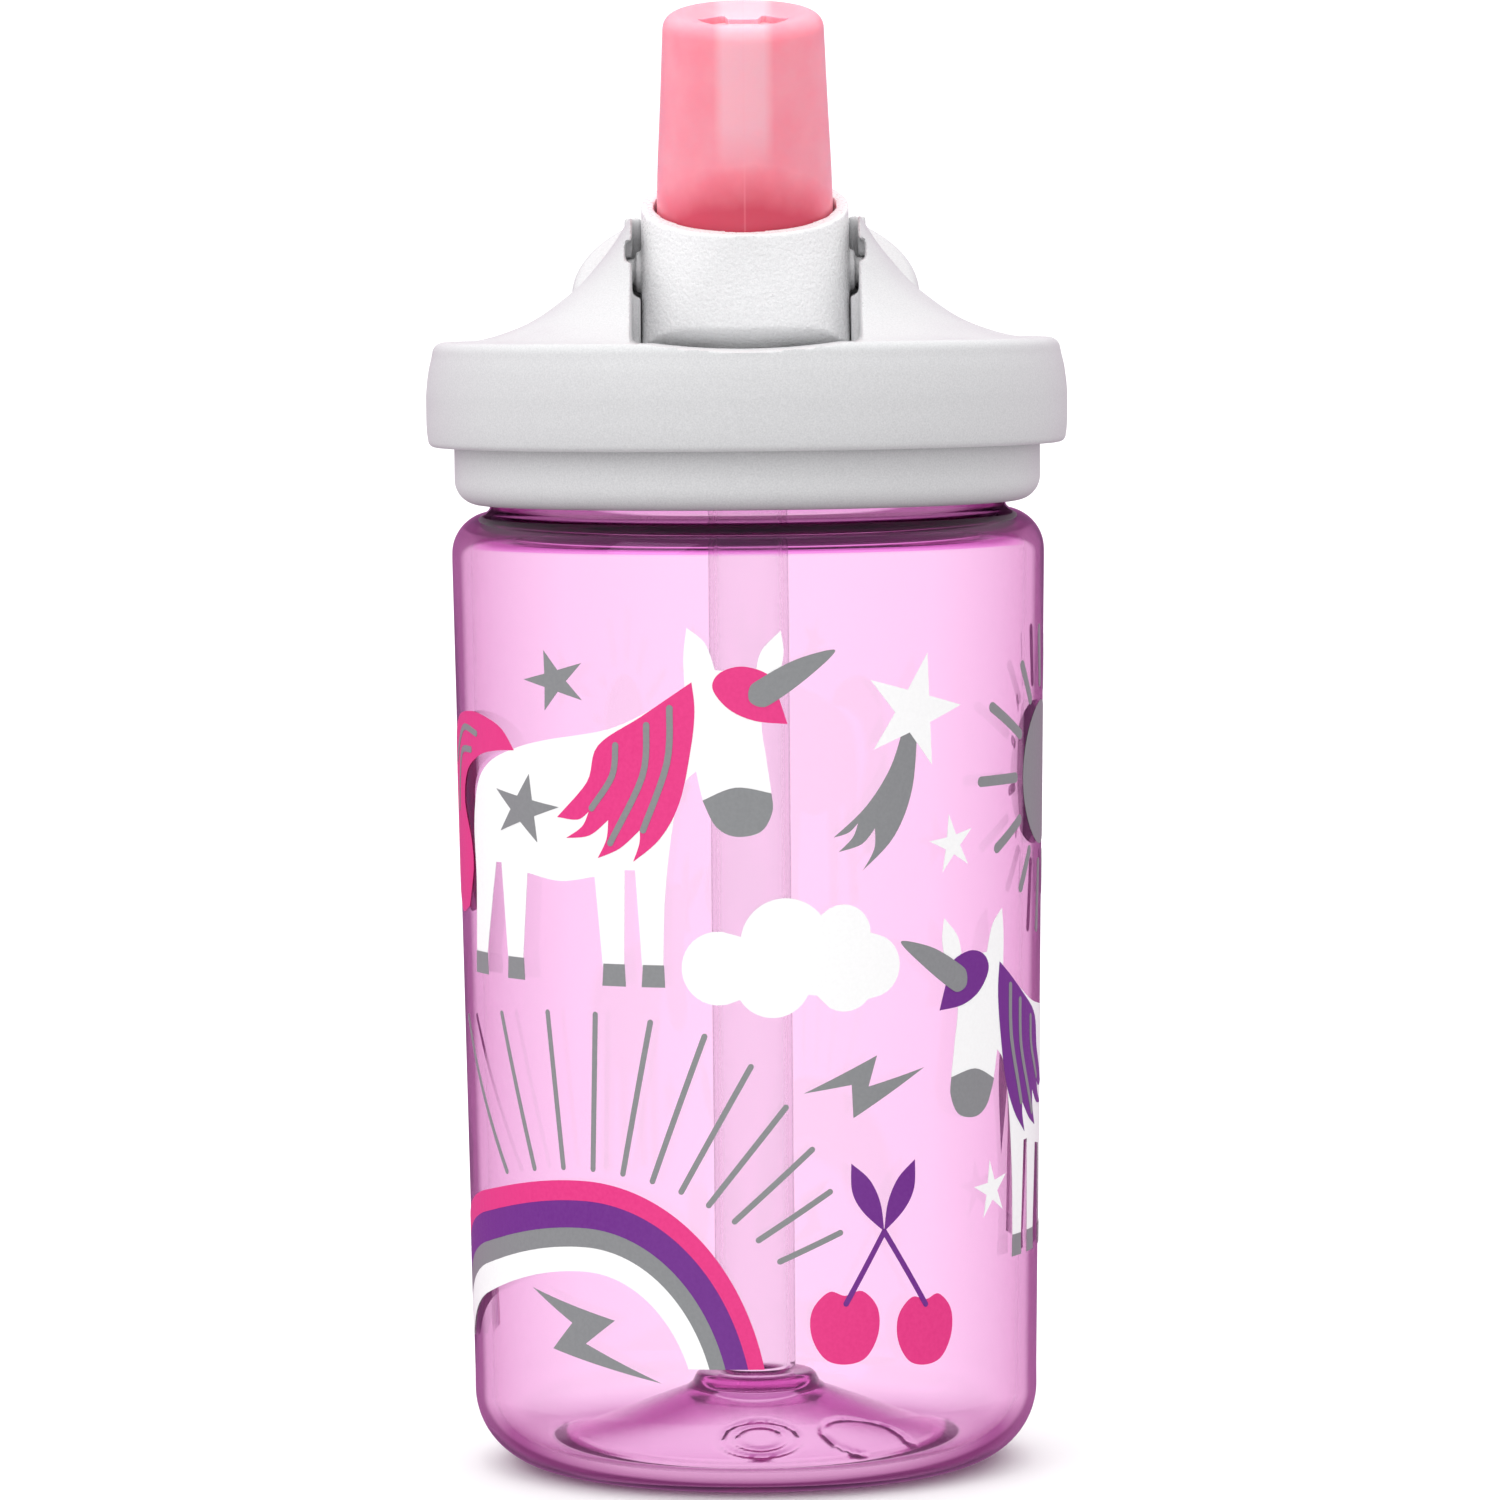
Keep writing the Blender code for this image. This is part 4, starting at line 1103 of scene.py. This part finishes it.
def front_scoop():
    """A shallow arc across the lid's front edge."""
    radius = (SCOOP_HALF ** 2 + SCOOP_DEPTH ** 2) / (2 * SCOOP_DEPTH)
    reach = math.degrees(math.asin(SCOOP_HALF / radius))
    outline = arc(0.0, LID_TOP - SCOOP_DEPTH + radius, radius, 270 - reach, 270 + reach, 40)
    outline += [(SCOOP_HALF, LID_TOP + 0.002), (-SCOOP_HALF, LID_TOP + 0.002)]
    scoop = add_object("scoop", outline_mesh("scoop", outline, 0.042))
    scoop.data.transform(Matrix.Translation((0.0, -0.026, 0.0)) @ Matrix.Rotation(math.pi / 2, 4, "X"))
    return scoop


def build_shroud(material):
    outline = shroud_outline()
    shroud = add_object("lid_shell", lathe_mesh("lid_shell", outline, closed=False), material)
    boolean(shroud, tower_hollow())
    floor = LID_TOP - 0.0002
    boolean(shroud, box("channel", (-CHANNEL_HALF, -0.05, floor), (CHANNEL_HALF, 0.05, 0.16)))
    boolean(shroud, cross_cylinder("trough", TROUGH_RADIUS, TROUGH_HALF))
    reach = CHANNEL_HALF + CHEEK + 0.001
    boolean(shroud, cross_cylinder("bore", TRUNNION_RADIUS + 0.0002, reach, 32))
    boolean(shroud, front_scoop())
    groove_end = CHANNEL_HALF + GROOVE_DEPTH
    boolean(shroud, box("groove", (-groove_end, -0.05, GROOVE_LOW), (groove_end, -0.0005, GROOVE_HIGH)))
    for side in (-1, 1):
        xs = sorted((side * GUIDE_INNER, side * (CHANNEL_HALF + 0.001)))
        for front, top in ((GUIDE_FRONT, GUIDE_TOP), (GUIDE_FOOT_FRONT, GUIDE_FOOT_TOP)):
            rib = box("guide_rib", (xs[0], front, floor - 0.001), (xs[1], GUIDE_BACK, top))
            boolean(shroud, rib, "UNION")
    joined(shroud, add_object("loop", loop_mesh("loop")))
    remesh(shroud, 0.00035, 3)
    snap_to_turned(shroud, outline[2:-3], 0.00016)
    return finish_piece(shroud, "lid", "pearl_plastic", "lid_shroud", "carry_loop")


# ---- Spout -----------------------------------------------------------------------

def spout_place(obj):
    """From the spout's own leaning frame to the model's."""
    obj.data.transform(Matrix.Translation((0.0, 0.0, PIVOT_Z)) @ Matrix.Rotation(LEAN, 4, "X"))


def stem_plan():
    """The stem's outside along its axis: square at the front below, round above."""
    corner = COLLAR_CORNER
    front = COLLAR_FRONT + corner
    square = arc(0.0, AXIS_OFFSET, COLLAR_HALF, 0, 180, 96)
    square += arc(-COLLAR_HALF + corner, front, corner, 180, 270, 24)
    square += arc(COLLAR_HALF - corner, front, corner, 270, 360, 24)
    circle = arc(0.0, AXIS_OFFSET, COLLAR_HALF, 0, 360, 192)[:-1]
    work = bmesh.new()
    for outline, height in ((square, -0.030), (square, -COLLAR_LOFT), (circle, COLLAR_LOFT)):
        for a, b in outline:
            work.verts.new((a, b, height))
    bmesh.ops.convex_hull(work, input=work.verts)
    return add_object("plan", mesh_from(work, "plan"))


def build_stem(material):
    back = AXIS_OFFSET + COLLAR_HALF
    low = -math.sqrt(BARREL_RADIUS ** 2 - COLLAR_FRONT ** 2)
    start = math.degrees(math.atan2(low, COLLAR_FRONT))
    rim_back = COLLAR_FRONT_TOP + (back - COLLAR_FRONT) * math.tan(COLLAR_RIM_SLOPE)
    side = [(COLLAR_FRONT, COLLAR_FRONT_TOP)]
    side += arc(0.0, 0.0, BARREL_RADIUS, start, -20, 64)
    side += [(back, COLLAR_BACK_BOTTOM), (back, rim_back)]
    stem = add_object("spout_collar", outline_mesh("spout_collar", side, 2 * COLLAR_HALF), material)
    stem.data.transform(Matrix.Rotation(math.pi / 2, 4, "Z") @ Matrix.Rotation(math.pi / 2, 4, "X"))
    boolean(stem, stem_plan(), "INTERSECT")
    boolean(stem, shifted(cylinder("pocket", POCKET_RADIUS, POCKET_FLOOR, 0.02, 128), AXIS_OFFSET))
    for low_x, high_x in ((-0.0109, -0.0074), (0.0074, 0.0109)):
        boolean(stem, box("core", (low_x, -0.0050, -0.02), (high_x, 0.0070, POCKET_FLOOR - 0.0016)))
    nozzle = shifted(cylinder("nozzle", NOZZLE_RADIUS, POCKET_FLOOR - 0.0006, NOZZLE_TOP, 64), AXIS_OFFSET)
    boolean(stem, nozzle, "UNION")
    trunnion = cross_cylinder("trunnion", TRUNNION_RADIUS, TRUNNION_END, 48, 0.0)
    boolean(trunnion, cross_cylinder("boss", BOSS_RADIUS, BOSS_END, 48, 0.0), "UNION")
    boolean(trunnion, box("inner", (-0.0118, -0.005, -0.005), (0.0118, 0.005, 0.005)))
    boolean(stem, trunnion, "UNION")
    boolean(stem, shifted(cylinder("bore", NOZZLE_BORE, -0.0040, 0.02, 64), AXIS_OFFSET))
    port = cylinder("port", NOZZLE_BORE, -0.0150, -0.0020, 64)
    port.data.transform(Matrix.Rotation(-LEAN, 4, "X"))
    boolean(stem, port)
    remesh(stem, 0.00022, 3)
    spout_place(stem)
    return finish_piece(stem, "spout", "spout_plastic", "spout_stem")


def valve_outline():
    tip = VALVE_TIP_RADIUS
    edge = 0.0018
    points = [(0.0, VALVE_TOP - 0.0010), (0.0030, VALVE_TOP - 0.0010), (0.0050, VALVE_TOP - 0.0008)]
    points += [(0.0064, VALVE_TOP - 0.0003), (0.0072, VALVE_TOP)]
    points += arc(tip - edge, VALVE_TOP - edge, edge, 86, 0, 12)
    side = [(tip, VALVE_TOP - edge), (0.0100, 0.0200), (0.0104, 0.0120), (VALVE_BASE_RADIUS, 0.0050)]
    points += catmull(side, 6)[1:]
    points += arc(VALVE_BASE_RADIUS - 0.0006, VALVE_BOTTOM + 0.0006, 0.0006, 0, -90, 5)
    points += [(VALVE_BORE, VALVE_BOTTOM), (VALVE_BORE, 0.0170), (0.0044, 0.0200)]
    points += [(0.0040, VALVE_TOP - 0.0072), (0.0030, VALVE_TOP - 0.0056), (0.0, VALVE_TOP - 0.0050)]
    return points


def build_valve(material):
    mesh = lathe_mesh("bite_valve_skin", valve_outline(), 144, closed=False)
    valve = add_object("bite_valve_skin", mesh, material)
    half = [(-0.0054, 0.0002), (-0.0027, 0.0030), (-0.0022, 0.0030), (-0.0017, 0.0014)]
    half += [(-a, b) for a, b in half[::-1]]
    bow = half + [(-a, -b) for a, b in half]
    recess = add_object("recess", outline_mesh("recess", bow, 0.0020))
    recess.data.transform(Matrix.Translation((0.0, 0.0, VALVE_TOP - 0.0007)))
    boolean(valve, recess)
    slit = box("slit", (-0.0040, -0.00015, VALVE_TOP - 0.0070), (0.0040, 0.00015, VALVE_TOP + 0.001))
    boolean(valve, slit)
    shifted(valve, AXIS_OFFSET)
    spout_place(valve)
    return finish_piece(valve, "spout", "pink_silicone", "bite_valve")


# ---- Straw and seals ---------------------------------------------------------------

def build_straw(material):
    edge = 0.0003
    bore = 0.0038
    outline = arc(STRAW_RADIUS - edge, STRAW_TOP - edge, edge, 90, 0, 4)
    outline += spaced((STRAW_RADIUS, STRAW_TOP - 0.002), (STRAW_RADIUS, STRAW_BOTTOM + 0.002), 0.006)
    outline += arc(STRAW_RADIUS - edge, STRAW_BOTTOM + edge, edge, 0, -90, 4)
    outline += arc(bore + edge, STRAW_BOTTOM + edge, edge, 270, 180, 4)
    outline += spaced((bore, STRAW_BOTTOM + 0.002), (bore, STRAW_TOP - 0.002), 0.006)
    outline += arc(bore + edge, STRAW_TOP - edge, edge, 180, 90, 4)
    straw = add_object("straw_tube", lathe_mesh("straw_tube", outline, 96), material)
    return finish_piece(straw, "lid", "clear_straw", "straw")


def dress_seals(material):
    """The hidden seals keep their CAD shape and take silicone."""
    for node in ("lid_gasket", "port_seal", "vent_valve"):
        obj = frame["nodes"][node]
        obj.data.materials.clear()
        obj.data.materials.append(material)


# ---- Stage -------------------------------------------------------------------------

def build_stage():
    """A plain pale floor that only takes shadows; the world lights the bottle from below."""
    work = bmesh.new()
    bmesh.ops.create_circle(work, cap_ends=True, segments=96, radius=12.0)
    material, _ = new_material("floor", Base_Color=(0.95, 0.95, 0.95, 1.0), Roughness=0.6)
    floor = add_object("floor", mesh_from(work, "floor"), material)
    floor.visible_diffuse = False
    floor.visible_glossy = False
    floor.visible_transmission = False
    floor.visible_shadow = False


def build_world():
    """A white room: soft light on the solid parts, banded light through and off the clear ones."""
    world = bpy.data.worlds.new("studio")
    bpy.context.scene.world = world
    world.use_nodes = True
    tree = world.node_tree
    background = tree.nodes["Background"]
    background.inputs["Strength"].default_value = 1.0

    def larger(first, second):
        return maths(tree, "MAXIMUM", first, second)

    def grey(level):
        return (level, level, level)

    aside, along, up = axes(tree, "Generated")
    soft = larger(spread(tree, aside, -0.9, 0.9, 1.30, 1.12), spread(tree, along, 0.2, 0.9, 0.0, 1.8))
    soft = larger(soft, spread(tree, up, 0.40, 0.70, 0.0, 1.85))
    soft = mixed(tree, spread(tree, up, -0.02, -0.20, 0.0, 1.0), soft, grey(0.35))
    soft = mixed(tree, spread(tree, up, -0.45, -0.70, 0.0, 1.0), soft, grey(1.15))
    gloss = larger(spread(tree, up, 0.30, 0.70, 0.0, 1.0), spread(tree, along, -0.5, -0.9, 0.0, 0.40))
    gloss = mixed(tree, gloss, (0.36, 0.12, 0.31), grey(1.10))
    level_band = larger(spread(tree, up, 0.20, 0.42, 1.0, 0.0), spread(tree, up, 0.55, 0.85, 0.0, 0.8))
    low_band = larger(spread(tree, up, -0.20, -0.42, 1.0, 0.0), spread(tree, up, -0.50, -0.80, 0.0, 0.7))
    through = mixed(tree, maths(tree, "MINIMUM", level_band, low_band), (0.60, 0.30, 0.54), grey(1.24))
    seen = tree.nodes.new("ShaderNodeLightPath")
    light = mixed(tree, seen.outputs["Is Glossy Ray"], soft, gloss)
    light = mixed(tree, seen.outputs["Is Transmission Ray"], light, through)
    light = mixed(tree, seen.outputs["Is Camera Ray"], light, grey(1.2))
    tree.links.new(light, background.inputs["Color"])


def area_light(name, location, target, size, power):
    light = bpy.data.lights.new(name, "AREA")
    light.shape = "RECTANGLE"
    light.size, light.size_y = size
    light.energy = power
    obj = bpy.data.objects.new(name, light)
    bpy.context.scene.collection.objects.link(obj)
    obj.location = location
    direction = Vector(target) - Vector(location)
    obj.rotation_euler = direction.to_track_quat("-Z", "Y").to_euler()


def build_lights():
    """One large soft key, high on the left."""
    area_light("key", (-0.55, -0.60, 0.65), (0.0, 0.0, 0.10), (0.50, 0.50), 1.4)


def build_camera():
    data = bpy.data.cameras.new("camera")
    data.lens = 172.0
    data.sensor_width = 36.0
    camera = bpy.data.objects.new("camera", data)
    bpy.context.scene.collection.objects.link(camera)
    camera.location = (0.0, -0.86, 0.143)
    aim = Vector((0.0, 0.0, 0.0857)) - camera.location
    facing = aim.to_track_quat("-Z", "Y").to_matrix().to_4x4()
    roll = Matrix.Rotation(math.radians(-0.55), 4, "Z")
    camera.matrix_world = Matrix.Translation(camera.location) @ facing @ roll
    bpy.context.scene.camera = camera


# ---- The scene ---------------------------------------------------------------------

build_bottle(body_plastic())
build_artwork()
build_lid_base(pearl_plastic("pearl_inner", (0.58, 0.583, 0.592), (0.70, 0.702, 0.71)))
build_shroud(pearl_plastic("pearl_outer", (0.55, 0.553, 0.562), (0.66, 0.662, 0.67)))
build_stem(spout_plastic())
build_valve(pink_silicone())
build_straw(tinted_plastic("clear_straw", (0.62, 0.45, 0.55), 75.0, CLEAR, 1.10, 0.22))
dress_seals(seal_silicone())
build_stage()
build_world()
build_lights()
build_camera()
bpy.context.scene.view_settings.view_transform = "Standard"
